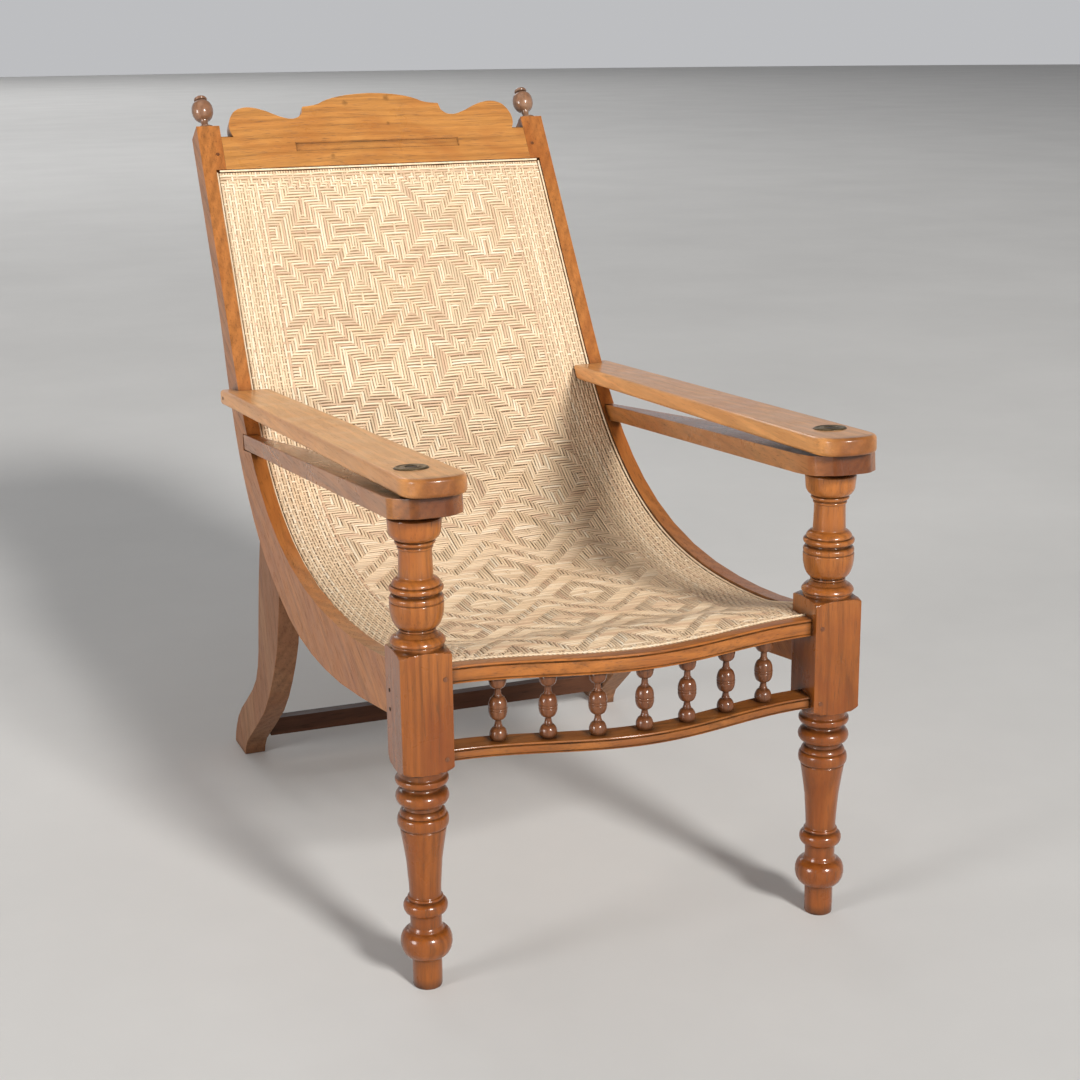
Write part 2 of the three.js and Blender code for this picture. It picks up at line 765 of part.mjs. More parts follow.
// Finials
const finialTurningShares = [
  ["line", 0, 0.87],
  ["line", 0.045, 0.89],
  ["flare", 0.12, 0.48],
  ["belly", 0.17, 0.33],
  ["line", 0.235, 0.36],
  ["bead", 0.82, 0.42, 1],
  ["bead", 1, 0.15, 0.585],
];

function finialGeometry() {
  const knob = turned(closedTurning(finialTurningShares, 0, finial.height, finial.radius), facets.finial);
  const pin = rod(finial.pinRadius, -finial.pinLength, finial.height / 2);
  return joined(knob, pin).translate(0, 0, fit).applyMatrix4(finialMatrix());
}

// Front rails: a serpentine front edge from a raised cosine
function bowY(x, setBack) {
  const swing = (1 + Math.cos((Math.PI * x) / frontReach)) / 2;
  return setBack - bow.endForward - bow.bulge * swing;
}

function bowShape(reach, front, rear) {
  const count = facets.bow;
  const xs = Array.from({ length: count + 1 }, (_, i) => reach * ((2 * i) / count - 1));
  const edge = (setBack) => xs.map((x) => new THREE.Vector2(x, bowY(x, setBack)));
  return new THREE.Shape([...edge(front), ...edge(rear).reverse()]);
}

function bowBoard(reach, front, rear, bottom, top) {
  const depth = top - bottom;
  const shape = bowShape(reach, front, rear);
  return new THREE.ExtrudeGeometry(shape, { depth, bevelEnabled: false }).translate(0, 0, bottom);
}

// The front face of each rail is stepped back between a bead along its top and one along its foot
function frontRailGeometry(board) {
  const bottom = board.top - board.height;
  const beadTop = board.top - bead.height;
  const core = bowBoard(frontReach, bead.stand, board.depth, bottom, board.top);
  const upper = bowBoard(frontReach, 0, board.depth / 2, beadTop, board.top);
  const lower = bowBoard(frontReach, 0, board.depth / 2, bottom, bottom + bead.height);
  const tenonShape = frontTenon(board, 0);
  return joined(core, upper, lower, tenonShape, mirrored(tenonShape));
}

function pinHoles(board) {
  return spindleXs.map((x) => {
    const y = bowY(x, spindle.setBack);
    return rod(spindle.pinRadius + fit, -spindle.pinLength - fit, spindle.pinLength + fit).translate(x, y, board);
  });
}

const middleIndex = (spindle.count - 1) / 2;
const spindleXs = Array.from({ length: spindle.count }, (_, i) => (i - middleIndex) * spindle.pitch);

function seatRailGeometry() {
  const floor = seatRail.top - rebate.frontDepth;
  const caneSpace = bowBoard(frontReach, seatRail.strip, seatRail.depth + overrun, floor, seatRail.top + overrun);
  const board = cut(frontRailGeometry(seatRail), caneSpace, ...pinHoles(seatRail.top - seatRail.height));
  return cutPegs(board, pegPlaces[0].height);
}

function lowerRailGeometry() {
  const board = cut(frontRailGeometry(lowerRail), ...pinHoles(lowerRail.top));
  return cutPegs(board, pegPlaces[1].height);
}

function cutPegs(board, height) {
  const hole = pegShape(height, fit);
  return cut(board, hole, mirrored(hole));
}

// Spindles
const spindleTurningShares = [
  ["line", 0, 0.66],
  ["bead", 0.215, 0.42, 0.92],
  ["line", 0.24, 0.5],
  ["line", 0.3, 0.34],
  ["line", 0.335, 0.5],
  ["bead", 0.68, 0.42, 1],
  ["line", 0.72, 0.46],
  ["line", 0.82, 0.34],
  ["belly", 0.93, 0.92],
  ["flare", 1, 0.78],
];

function spindleGeometry() {
  const { height, radius, pinRadius, pinLength } = spindle;
  const body = turned(closedTurning(spindleTurningShares, 0, height, radius), facets.spindle);
  return joined(body, rod(pinRadius, -pinLength, height + pinLength));
}

// Woven cane: its line runs over the seat rail and then along the rebates of the side rails
const caneTopDepth = rebate.depth - cane.thickness - fit;

function caneLine(depth) {
  const startY = -bow.endForward - bow.bulge;
  const levelY = seatRail.depth - bow.endForward + fit;
  const levelZ = seatRail.top - rebate.frontDepth + rebate.depth - depth;
  const join = new THREE.Vector2(...railPoint(cane.joinShare, depth));
  const tangent = railPath.getTangentAt(cane.joinShare);
  const curve = new THREE.CubicBezierCurve(
    new THREE.Vector2(levelY, levelZ),
    new THREE.Vector2(levelY + cane.handle, levelZ),
    join.clone().addScaledVector(tangent, -cane.handle),
    join,
  );
  const along = railEdgeShares.filter((share) => share > cane.joinShare);
  const front = curve.getPoints(facets.cane).map(({ x, y }) => [x, y]);
  return [[startY, levelZ], ...front, ...along.map((share) => railPoint(share, depth))];
}

function caneBand(topDepth, bottomDepth) {
  return [...caneLine(bottomDepth), ...caneLine(topDepth).reverse()];
}

const stripWidth = rail.width - rebate.width;

function trimmedCane(geometry) {
  const reach = post.spacing;
  const topSpace = box([-reach, -crest.bottom - fit, -reach], [reach, reach, reach]).applyMatrix4(backMatrix);
  const blockSpace = box([frontReach - fit, -reach, 0], [reach, blockRear + fit, reach]);
  return cut(geometry, topSpace, blockSpace, mirrored(blockSpace));
}

function caneGeometry() {
  const blank = sidePlank(caneBand(caneTopDepth, rebate.depth - fit), -post.spacing, post.spacing);
  const frontSpace = bowBoard(frontReach, -post.spacing, seatRail.strip + fit, 0, post.spacing);
  return betweenSides(cut(trimmedCane(blank), frontSpace), stripWidth, fit);
}

function sideBinder() {
  const outer = frame.outerX - stripWidth - fit;
  return trimmedCane(sidePlank(caneBand(fit, caneTopDepth - fit), outer - binder.width, outer));
}

function topBinder() {
  const reach = outerFaceX(backOrigin.x, backOrigin.y) - stripWidth - binder.width - 4 * fit;
  const top = -crest.bottom - fit;
  return box([-reach, top - binder.width, fit - caneTopDepth], [reach, top, -fit]).applyMatrix4(backMatrix);
}

function frontBinder() {
  const bottom = seatRail.top - rebate.frontDepth + rebate.depth - caneTopDepth + fit;
  const front = seatRail.strip + fit;
  return bowBoard(frontReach - fit, front, front + binder.width, bottom, bottom + binder.width);
}

// Pivot hardware
function lowerWasher() {
  const disc = rod(washer.radius, -post.rimFlat, -runningGap, facets.washer).applyMatrix4(restMatrix);
  const reach = post.spacing;
  const below = box([0, -reach, 0], [reach, reach, post.top]);
  return cut(disc, below, boltShape(fit));
}

function upperWasher() {
  const from = rest.thickness + runningGap;
  const disc = rod(washer.radius, from, from + arm.thickness / 2, facets.washer).applyMatrix4(restMatrix);
  const reach = post.spacing;
  const above = box([-reach, -reach, -fit], [reach, reach, reach]).applyMatrix4(armMatrix);
  return cut(disc, above, boltShape(fit));
}

function plateGeometry() {
  const floor = arm.thickness - plate.sunk + fit;
  const disc = rod(plate.radius, floor, floor + plate.thickness, facets.washer);
  const hole = rod(plate.hole, 0, floor + plate.thickness + overrun, facets.washer);
  return cut(disc, hole).translate(0, plateY, 0).applyMatrix4(armMatrix);
}

function boltGeometry() {
  const head = rod(bolt.headRadius, boltTop - headHeight, boltTop, facets.washer).applyMatrix4(restMatrix);
  return joined(boltShape(0), head);
}

// Assembly: each side piece is modelled on the right and mirrored for the left
const chair = new THREE.Group();

function place(parent, name, geometry, material) {
  const mesh = new THREE.Mesh(geometry, material);
  mesh.name = name;
  parent.add(mesh);
  return mesh;
}

const sidePieces = [
  ["front_post", postGeometry(), teak],
  ["side_rail", railGeometry(), teak],
  ["rear_leg", legGeometry(), teak],
  ["arm", armGeometry(), armTeak],
  ["leg_rest", restGeometry(), armTeak],
  ["pivot_plate", plateGeometry(), brass],
  ["pivot_bolt", boltGeometry(), iron],
  ["lower_washer", lowerWasher(), iron],
  ["upper_washer", upperWasher(), iron],
  ["finial", finialGeometry(), darkTeak],
  ["cane_edge", sideBinder(), straw],
  ["crest_peg", crestPegShape(0), darkTeak],
  ["arm_nail", armNailShape(0), iron],
  ...pegPlaces.map(({ name, height }) => [`front_peg_${name}`, pegShape(height, 0), darkTeak]),
  ...nailPlaces.map(({ name, height }) => [`block_nail_${name}`, blockNailShape(height, 0), iron]),
];
for (const [name, geometry, material] of sidePieces) {
  place(chair, `${name}_right`, geometry, material);
  place(chair, `${name}_left`, mirrored(geometry), material);
}

place(chair, "rear_stretcher", stretcherGeometry(), teak);
place(chair, "crest_rail", crestGeometry(), teak);
place(chair, "front_seat_rail", seatRailGeometry(), teak);
place(chair, "front_lower_rail", lowerRailGeometry(), teak);
place(chair, "cane_seat", caneGeometry(), straw);
place(chair, "cane_edge_top", topBinder(), straw);
place(chair, "cane_edge_front", frontBinder(), straw);

const spindleShape = spindleGeometry();
spindleXs.forEach((x, index) => {
  const mesh = place(chair, `spindle_${index + 1}`, spindleShape, darkTeak);
  mesh.position.set(x, bowY(x, spindle.setBack), lowerRail.top);
});

// The origin stands on the floor, under the middle of the chair
const bounds = new THREE.Box3().setFromObject(chair, true);
const middle = bounds.getCenter(new THREE.Vector3());
chair.position.set(-middle.x, -middle.y, -bounds.min.z);

export default chair;
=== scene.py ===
"""Planters chair: turned, sawn and bent teak with a sling of woven cane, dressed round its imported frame."""
import math
import random

import bmesh
import bpy
from bpy.props import FloatProperty, FloatVectorProperty, IntProperty, PointerProperty
from bpy.types import Operator, Panel, PropertyGroup
from mathutils import Matrix, Vector
from mathutils.geometry import interpolate_bezier


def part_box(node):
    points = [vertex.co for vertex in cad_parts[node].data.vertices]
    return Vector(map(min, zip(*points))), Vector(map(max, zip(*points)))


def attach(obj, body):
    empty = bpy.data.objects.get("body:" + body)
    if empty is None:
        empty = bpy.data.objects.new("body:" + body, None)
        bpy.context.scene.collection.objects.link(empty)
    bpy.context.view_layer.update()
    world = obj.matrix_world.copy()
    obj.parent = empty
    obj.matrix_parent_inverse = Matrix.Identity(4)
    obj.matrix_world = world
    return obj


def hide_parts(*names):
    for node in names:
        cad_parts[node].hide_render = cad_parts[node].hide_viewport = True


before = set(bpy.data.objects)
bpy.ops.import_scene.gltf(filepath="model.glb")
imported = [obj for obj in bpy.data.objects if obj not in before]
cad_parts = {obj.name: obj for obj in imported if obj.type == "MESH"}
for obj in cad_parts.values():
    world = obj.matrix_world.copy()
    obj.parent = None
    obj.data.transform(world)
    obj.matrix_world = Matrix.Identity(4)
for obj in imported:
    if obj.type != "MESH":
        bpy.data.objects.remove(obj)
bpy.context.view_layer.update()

bl_info = {
    "name": "Planters Chair",
    "version": (1, 0, 0),
    "blender": (4, 5, 0),
    "location": "3D View > Sidebar > Chair",
    "description": "Dresses a reclining planters chair in teak and woven cane",
    "category": "Object",
}

SIDES = {"right": 1, "left": -1}
POST_LOW, POST_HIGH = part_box("front_post_right")
POST_MIDDLE = (POST_LOW + POST_HIGH) / 2
ORIGIN = Matrix.Translation((0, POST_MIDDLE.y, 0))
MERGE = 0.00002
FIT = 0.0003
RUNNING_GAP = 0.00035
TURNS = 64
FLAT_ANGLE = math.radians(0.4)
EDGE_ANGLE = math.radians(40)
NOSE_ANGLE = math.radians(12)


# Settings that a user would change
def size_setting(name, default, description):
    return FloatProperty(name=name, description=description, default=default, unit="LENGTH")


def count_setting(name, default, description):
    return IntProperty(name=name, description=description, default=default)


def colour_setting(name, default, description):
    return FloatVectorProperty(name=name, description=description, default=default, subtype="COLOR")


class PostSizes(PropertyGroup):
    """Sizes of the front posts."""

    turn_radius: size_setting("Turning Radius", 0.0315, "Widest radius of the turned lengths")
    block_width: size_setting("Block Width", 0.0625, "Width of the square block")
    block_bottom: size_setting("Block Bottom", 0.28, "Height of the block's lower end")
    block_top: size_setting("Block Top", 0.427, "Height of the block's upper end")
    pommel_radius: size_setting("Pommel Radius", 0.033, "Radius at which the block turns round")
    pommel_height: size_setting("Pommel Height", 0.009, "Height over which the block turns square")
    top: size_setting("Top", 0.5835, "Height of the cup at the top")
    rim: size_setting("Rim", 0.022, "Radius of the flat on the cup")
    corner: size_setting("Corner", 0.0013, "How far the block's corners are eased")


class TurningSizes(PropertyGroup):
    """Sizes of the spindles and finials."""

    spindle_radius: size_setting("Spindle Radius", 0.0115, "Widest radius of a spindle")
    finial_radius: size_setting("Finial Radius", 0.0175, "Widest radius of a finial")
    finial_height: size_setting("Finial Height", 0.0648, "Height of a finial above its rail")
    ease: size_setting("Ease", 0.0005, "How far sharp turned edges are rounded")


class RailSizes(PropertyGroup):
    """The line of the side rails and of the cane."""

    front_height: size_setting("Front Height", 0.4, "Height of the rail at the block")
    low_reach: size_setting("Low Point", 0.335, "Distance of the lowest point from the posts")
    low_height: size_setting("Low Height", 0.368, "Height of the lowest point")
    bend_reach: size_setting("Bend", 0.874, "Distance of the bend from the posts")
    bend_height: size_setting("Bend Height", 0.674, "Height of the bend")
    seat_handle: size_setting("Seat Curve", 0.1, "Length of the seat curve's handles")
    sag_handle: size_setting("Sag Curve", 0.345, "Length of the handle behind the low point")
    back_handle: size_setting("Back Curve", 0.18, "Length of the handle under the bend")
    back_length: size_setting("Back Length", 0.343, "Length of the straight back")
    recline: FloatProperty(
        name="Recline", description="How far the back leans from upright", default=math.radians(33.7),
        subtype="ANGLE")
    outer: size_setting("Outer Face", 0.2794, "Half width of the frame over its rails")
    strip: size_setting("Strip", 0.0205, "Width of the rail outside its rebate")
    rebate: size_setting("Rebate", 0.008, "Depth of the rebate for the cane")


class BoardSizes(PropertyGroup):
    """Sizes of the arms and leg rests."""

    arm_thickness: size_setting("Arm Thickness", 0.022, "Thickness of an arm")
    arm_front: size_setting("Arm Overhang", 0.078, "Reach of the arm in front of its post")
    arm_rear: size_setting("Arm Rear", 0.845, "Reach of the arm behind its post")
    nose_radius: size_setting("Nose Radius", 0.038, "Rounding of the arm's front corners")
    front_outer: size_setting("Front Outer", 0.031, "Width outside the pivot at the front")
    front_inner: size_setting("Front Inner", 0.048, "Width inside the pivot at the front")
    rear_outer: size_setting("Rear Outer", 0.053, "Width outside the pivot at the rear")
    rear_inner: size_setting("Rear Inner", 0.017, "Width inside the pivot at the rear")
    rear_corner: size_setting("Rear Corner", 0.009, "Rounding of the outer rear corner")
    edge: size_setting("Edge", 0.005, "Rounding along the arm's edges")
    rest_thickness: size_setting("Rest Thickness", 0.0235, "Thickness of a leg rest")
    ease: size_setting("Ease", 0.0012, "Wear along the edges of sawn boards")


class CaneSizes(PropertyGroup):
    """Sizes of the woven cane."""

    warp_pitch: size_setting("Warp Pitch", 0.00407, "Distance between lengthwise strands")
    weft_pitch: size_setting("Weft Pitch", 0.00492, "Distance between crosswise strands")
    thickness: size_setting("Strand Thickness", 0.0017, "Thickness of one strand")
    eye: count_setting("Eye", 1, "Half the crosswise strands under the middle strand of a diamond")
    slack: size_setting("Slack", 0.0009, "How far the weave rises and falls at random")
    band: count_setting("Band", 6, "Strands that one float of the twill passes over")
    diamond_warps: count_setting("Diamond Width", 34, "Lengthwise strands from one middle to the next")
    diamond_wefts: count_setting("Diamond Height", 48, "Crosswise strands from one middle to the next")
    first_diamond: size_setting("First Diamond", 1.122, "How far the highest full diamond is from the block")
    border: size_setting("Border", 0.197, "Half width at which the side borders begin")
    sag: size_setting("Sag", 0.004, "How far the sling hangs below its rails")
    binder: size_setting("Binder", 0.0034, "Width of the strand along each edge")


class WoodColours(PropertyGroup):
    """Colours of the finishes."""

    teak: colour_setting("Teak", (0.34, 0.116, 0.022), "Middle tone of the frame")
    arm: colour_setting("Arm Teak", (0.7, 0.32, 0.1), "Middle tone of the worn arm boards")
    rest: colour_setting("Leg Rest Teak", (0.42, 0.16, 0.038), "Middle tone of the leg rests")
    rail: colour_setting("Rail Teak", (0.4, 0.145, 0.034), "Middle tone of the side rails")
    crest: colour_setting("Crest Teak", (0.49, 0.215, 0.056), "Golden tone of the crest")
    dark: colour_setting("Dark Teak", (0.17, 0.062, 0.024), "Middle tone of spindles and pegs")
    finial: colour_setting("Finial Teak", (0.3, 0.165, 0.095), "Middle tone of the polished finials")
    leg: colour_setting("Leg Teak", (0.28, 0.135, 0.066), "Middle tone of the grey rear legs")
    # Colour of the dirt and painted shade in hollows, grooves and joins
    grime: colour_setting("Dirt and shade", (0.035, 0.014, 0.006), "Dirt and painted shade in corners and grooves")
    straw: colour_setting("Straw", (0.77, 0.585, 0.385), "Middle tone of the cane")
    brass: colour_setting("Brass", (0.26, 0.19, 0.1), "Old brass of the pivot plates")
    iron: colour_setting("Iron", (0.075, 0.062, 0.052), "Bolts, washers and nails")
    floor: colour_setting("Floor", (0.68, 0.67, 0.65), "Pale studio floor")


# Turnings from the foot up: height share, radius share and, where it isn't straight, the form.
# A bead has its widest share after it.
LOWER_TURNING_SHARES = [
    (0, 0.54), (0.008, 0.562), (0.134, 0.568), (0.141, 0.62), (0.262, 0.7, "bead", 0.987), (0.267, 0.655),
    (0.276, 0.64), (0.282, 0.6), (0.335, 0.603), (0.341, 0.65), (0.4, 0.68, "bead", 0.844), (0.404, 0.635),
    (0.42, 0.63, "bead", 0.68), (0.424, 0.6), (0.47, 0.614), (0.585, 0.686), (0.655, 0.775), (0.73, 0.88),
    (0.735, 0.84), (0.74, 0.9), (0.79, 0.9, "bead", 0.975), (0.794, 0.85), (0.821, 0.72, "bead", 0.85),
    (0.835, 0.69), (0.84, 0.74), (0.907, 0.74, "bead", 1.01), (0.914, 0.7), (0.926, 0.72), (0.931, 0.88),
    (0.964, 0.93, "bead", 1), (0.97, 0.88), (0.999, 0.9),
]
UPPER_TURNING_SHARES = [
    (0.004, 0.94), (0.03, 0.985), (0.036, 0.945), (0.043, 0.985), (0.1, 0.8, "bead", 0.99), (0.105, 0.76),
    (0.125, 0.69), (0.132, 0.64), (0.152, 0.64, "bead", 0.69), (0.156, 0.64), (0.33, 1, "belly"), (0.352, 1),
    (0.358, 0.945), (0.364, 0.99), (0.38, 0.995), (0.41, 0.86, "flare"), (0.414, 0.8), (0.425, 0.8),
    (0.43, 0.9), (0.476, 0.92, "bead", 1), (0.48, 0.86), (0.535, 0.68, "bead", 0.86), (0.545, 0.64),
    (0.69, 0.615), (0.752, 0.61), (0.772, 0.62, "bead", 0.66), (0.778, 0.625), (0.784, 0.66),
    (0.815, 0.69, "bead", 0.745), (0.82, 0.67), (0.9, 0.965, "belly"), (0.978, 1), (1, 0.7, "flare"),
]
SPINDLE_TURNING_SHARES = [
    (0, 0.62), (0.2, 0.44, "bead", 0.92), (0.206, 0.38), (0.225, 0.46), (0.24, 0.38), (0.3, 0.33),
    (0.325, 0.46), (0.47, 0.98, "belly"), (0.478, 0.93), (0.486, 0.99), (0.51, 0.99), (0.518, 0.93),
    (0.526, 0.98), (0.68, 0.42, "flare"), (0.7, 0.46), (0.715, 0.36), (0.81, 0.32), (0.91, 0.9, "belly"),
    (0.935, 0.95), (1, 0.78, "flare"),
]
FINIAL_TURNING_SHARES = [
    (0, 0.87), (0.045, 0.89), (0.13, 0.46, "flare"), (0.2, 0.3, "belly"), (0.33, 0.34),
    (0.85, 0.42, "bead", 0.98), (0.86, 0.36), (1, 0.15, "bead", 0.585),
]
POMMEL_SHARES = [(0, 0), (0.42, 0.16), (0.7, 0.4), (0.9, 0.7), (1, 1)]
# Sections of the front rails, as (distance behind the bowed front, drop below the top)
SEAT_RAIL_SECTION = [
    (0.046, 0.006), (0.046, 0.022), (0.0022, 0.022), (0.0006, 0.0213), (0.0002, 0.0203), (0.0008, 0.0196),
    (0.0021, 0.0191), (0.0015, 0.0184), (0.0009, 0.0125), (0.0015, 0.0052), (0.0031, 0.0041),
    (0.0013, 0.0033), (0.0003, 0.0023), (0.0003, 0.0014), (0.0009, 0.0005), (0.0022, 0), (0.0162, 0),
    (0.017, 0.0007), (0.017, 0.006),
]
LOWER_RAIL_SECTION = [
    (0.032, 0.0008), (0.032, 0.015), (0.0018, 0.015), (0.0005, 0.0144), (0.0002, 0.0137), (0.0008, 0.0132),
    (0.0018, 0.0127), (0.0011, 0.0121), (0.0008, 0.0085), (0.0013, 0.0048), (0.0029, 0.0038), (0.0012, 0.003),
    (0.0002, 0.0021), (0.0003, 0.0012), (0.0009, 0.0004), (0.002, 0), (0.0312, 0),
]
# The brass plate of a pivot, as (radius, height above its seat), and the seat that is cut for it
PLATE_PROFILE = [
    (0.0072, 0), (0.0072, 0.0026), (0.0078, 0.0031), (0.0105, 0.0032), (0.0112, 0.0026), (0.0158, 0.0026),
    (0.0164, 0.0031), (0.0185, 0.0029), (0.0198, 0.0019), (0.02, 0.0008), (0.02, 0),
]
PLATE_SEAT = {"depth": 0.0016, "radius": 0.0203, "hole": 0.0056, "below": 0.01}
LEAN = {"spread": 0.0289, "lean": -0.0347, "height": 0.352}
ARM_SLOPE = 0.066
REST_SLOPE = 0.113
BOW = {"forward": 0.022, "bulge": 0.038, "strip": 0.017, "depth": 0.046}
CREST_DROP = 0.078
PANEL = {"half_width": 0.135, "top": 0.02, "bottom": 0.034, "drop": 0.015, "chamfer": 0.0015}
CREST_KNOTS = [
    ((-0.0791, 0.5091, 0.9084), 0.0075), ((0.0228, 0.5406, 0.9556), 0.0065),
    ((0.0281, 0.5663, 0.9942), 0.012), ((-0.0422, 0.5623, 0.9882), 0.01),
]
FINIAL_SEAT = {"inset": 0.01825, "depth": 0.02}
# Painted shade: the front posts turn darker by this tint towards the floor
FOOT_SHADE = (0.6, 0.49, 0.33)
NOSE_TINT = (0.36, 0.27, 0.2)
REST_NOSE = {"reach": 0.05, "radius": 0.008}
# Where the cane leaves the front rail and comes down into the rebate of the side rails
CANE_LINE = {"rise": 0.0023, "lift": 0.007, "handle": 0.045, "join": 0.1}
# Heights between which painted shade grows, from the back down onto the seat, where light grazes the weave
SEAT_SHADE = (0.72, 0.46)
# A split strand's section, as shares of its width and thickness, and how near its rim each point is
STRAND_SECTION_SHARES = [
    (-0.5, -0.3, 1), (-0.37, 0.26, 0.45), (0, 0.5, 0), (0.37, 0.26, 0.45), (0.5, -0.3, 1), (0, -0.5, 0.8),
]
# How each set of strands lies. Wander is its sweep, waves and shake, and edge_shade is where the painted
# shade along its edges begins and how strong it gets.
STRANDS = {
    "cane_warp": {"share": 0.92, "roundness": 1.15, "widths": (0.9, 1.06), "wander": (0.0004, 31, 0.00018),
                  "fibre": (1, 0.03, 1), "edge_shade": (0.5, 0.4)},
    "cane_weft": {"share": 0.84, "roundness": 1.35, "widths": (0.88, 1.05), "wander": (0.0005, 27, 0.00022),
                  "fibre": (0.03, 1, 1), "edge_shade": (0.3, 0.58)},
}
STRAND_RISE_SHARE = 0.48
STRAND_WIDTHS = (0.94, 1.04)
FULL_WAVE = (0, 6.28)
BORDER_ROWS = {"rim": 2, "top": 6, "front": 4}
BINDER_TONE = 0.8
BINDER_WIDTHS = (0.88, 1.0)
# Sheet of painted shade under the strands: steps across and along, width share and thickness
SHADE_SHEET = {"across": 24, "along": 120, "width_share": 0.985, "thickness": 0.0003}
BINDER = {"steps": 130, "top_steps": 60, "front_steps": 240, "rise_share": 0.36, "twist": 1.9,
          "ply_share": 0.62}
FLOOR_RADIUS = 40
# Lights of the stage: place, target, size, power and colour
LIGHTS = {
    "key": ((4.5, -19, 10.3), (0, 0, 0.45), 4.2, 4900, (1, 0.985, 0.96)),
    "overhead": ((-0.6, 0.4, 3.6), (0, 0, 0.4), 2.6, 8, (1, 0.99, 0.97)),
    "fill": ((-9, -2.7, 2.4), (0, 0, 0.5), 3.4, 420, (1, 0.99, 0.98)),
    "backdrop": ((0, 13, 8), (0, 14, 0), 9, 330, (0.98, 0.99, 1)),
    "far_backdrop": ((0, 28, 12), (0, 30, 0), 16, 1300, (0.98, 0.99, 1)),
}
VIEW = {"place": (-0.8454, -2.5084, 1.1217), "target": (-0.1136, -0.5212, 0.5373), "roll": -0.686,
        "lens": 63.39, "sensor": 36}


# Meshes
def added(name, data):
    """A new object in the scene."""
    piece = bpy.data.objects.new(name, data)
    bpy.context.scene.collection.objects.link(piece)
    return piece


def solid(mesh, name):
    """Hands a bmesh over to a new object."""
    data = bpy.data.meshes.new(name)
    mesh.to_mesh(data)
    mesh.free()
    return added(name, data)


def finished(mesh, name, material, body="frame", replaced=(), crease=38.0, flat=False):
    """Turns a bmesh into a named piece on its body. Flat keeps broad faces flat beside eased edges."""
    for face in mesh.faces:
        face.smooth = True
    for edge in mesh.edges:
        if len(edge.link_faces) == 2 and edge.calc_face_angle() > math.radians(crease):
            edge.smooth = False
    piece = solid(mesh, name)
    piece.data.materials.append(material)
    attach(piece, body)
    if replaced:
        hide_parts(*replaced)
    if flat:
        piece.modifiers.new("Flat faces", "WEIGHTED_NORMAL").keep_sharp = True
    return piece


def moved(mesh, matrix):
    """Moves, turns or leans a whole bmesh."""
    bmesh.ops.transform(mesh, matrix=matrix, verts=mesh.verts)
    return mesh


def outward(mesh):
    """Turns all faces outwards."""
    bmesh.ops.recalc_face_normals(mesh, faces=mesh.faces)
    return mesh


def sided(mesh, side):
    """Mirrors a piece that is drawn for the right side, if it is for the left."""
    if side == "left":
        bmesh.ops.scale(mesh, vec=(-1, 1, 1), verts=mesh.verts)
        bmesh.ops.reverse_faces(mesh, faces=mesh.faces)
    return mesh


def bevelled(mesh, edges, offset, segments, **named):
    """Rounds or chamfers edges."""
    bmesh.ops.bevel(mesh, geom=edges, offset=offset, offset_type="OFFSET", segments=segments, profile=0.5,
                    affect="EDGES", material=-1, **named)
    return mesh


def middle_of(edge):
    return (edge.verts[0].co + edge.verts[1].co) / 2


def rise_of(edge):
    return abs(edge.verts[0].co.z - edge.verts[1].co.z)


def turning(rows, bottom, height, radius, steps=8):
    """The points of a turned profile as (radius, height) pairs."""
    points = []
    reach, level = 0.0, bottom
    for height_share, radius_share, *form in rows:
        next_reach = radius * radius_share
        next_level = bottom + height * height_share
        for index in range(1, steps + 1) if form else ():
            angle = index / steps * math.pi / 2
            out, up, swell = 1 - math.cos(angle), math.sin(angle), 0
            if form[0] == "belly":
                out, up = up, out
            elif form[0] == "bead":
                swing = 2 * angle - math.pi / 2
                out = up = (math.sin(swing) + 1) / 2
                swell = (radius * form[1] - (reach + next_reach) / 2) * math.cos(swing)
            points.append((reach + (next_reach - reach) * out + swell, level + (next_level - level) * up))
        if not form:
            points.append((next_reach, next_level))
        reach, level = next_reach, next_level
    return points


def eased(points, ease, room=2.2, sharp=math.radians(32)):
    """Cuts each sharp corner of a profile by a small chamfer, where there is room for it."""
    result = [points[0]]
    for before, here, after in zip(points, points[1:], points[2:]):
        into = Vector(here) - Vector(before)
        out = Vector(after) - Vector(here)
        if min(into.length, out.length) < room * ease or into.angle(out) < sharp:
            result.append(here)
            continue
        result.append(tuple(Vector(here) - into.normalized() * ease))
        result.append(tuple(Vector(here) + out.normalized() * ease))
    return result + [points[-1]]


def spun(points, turns=TURNS, ring=False):
    """A closed solid turned from a profile about the z axis. A ring keeps its hole."""
    mesh = bmesh.new()
    whole = points if ring else [(0.0, points[0][1]), *points, (0.0, points[-1][1])]
    verts = [mesh.verts.new((reach, 0, level)) for reach, level in whole]
    edges = [mesh.edges.new(pair) for pair in zip(verts, verts[1:] + verts[:1] * ring)]
    bmesh.ops.spin(mesh, geom=verts + edges, cent=(0, 0, 0), axis=(0, 0, 1), angle=2 * math.pi, steps=turns,
                   use_merge=True)
    bmesh.ops.remove_doubles(mesh, verts=mesh.verts, dist=MERGE)
    return outward(mesh)


def drawn_out(outline, run):
    """A closed board: an outline of points in one plane, drawn out along a vector."""
    mesh = bmesh.new()
    face = mesh.faces.new([mesh.verts.new(point) for point in outline])
    grown = bmesh.ops.extrude_face_region(mesh, geom=[face])
    far = [item for item in grown["geom"] if isinstance(item, bmesh.types.BMVert)]
    bmesh.ops.translate(mesh, vec=run, verts=far)
    return outward(mesh)


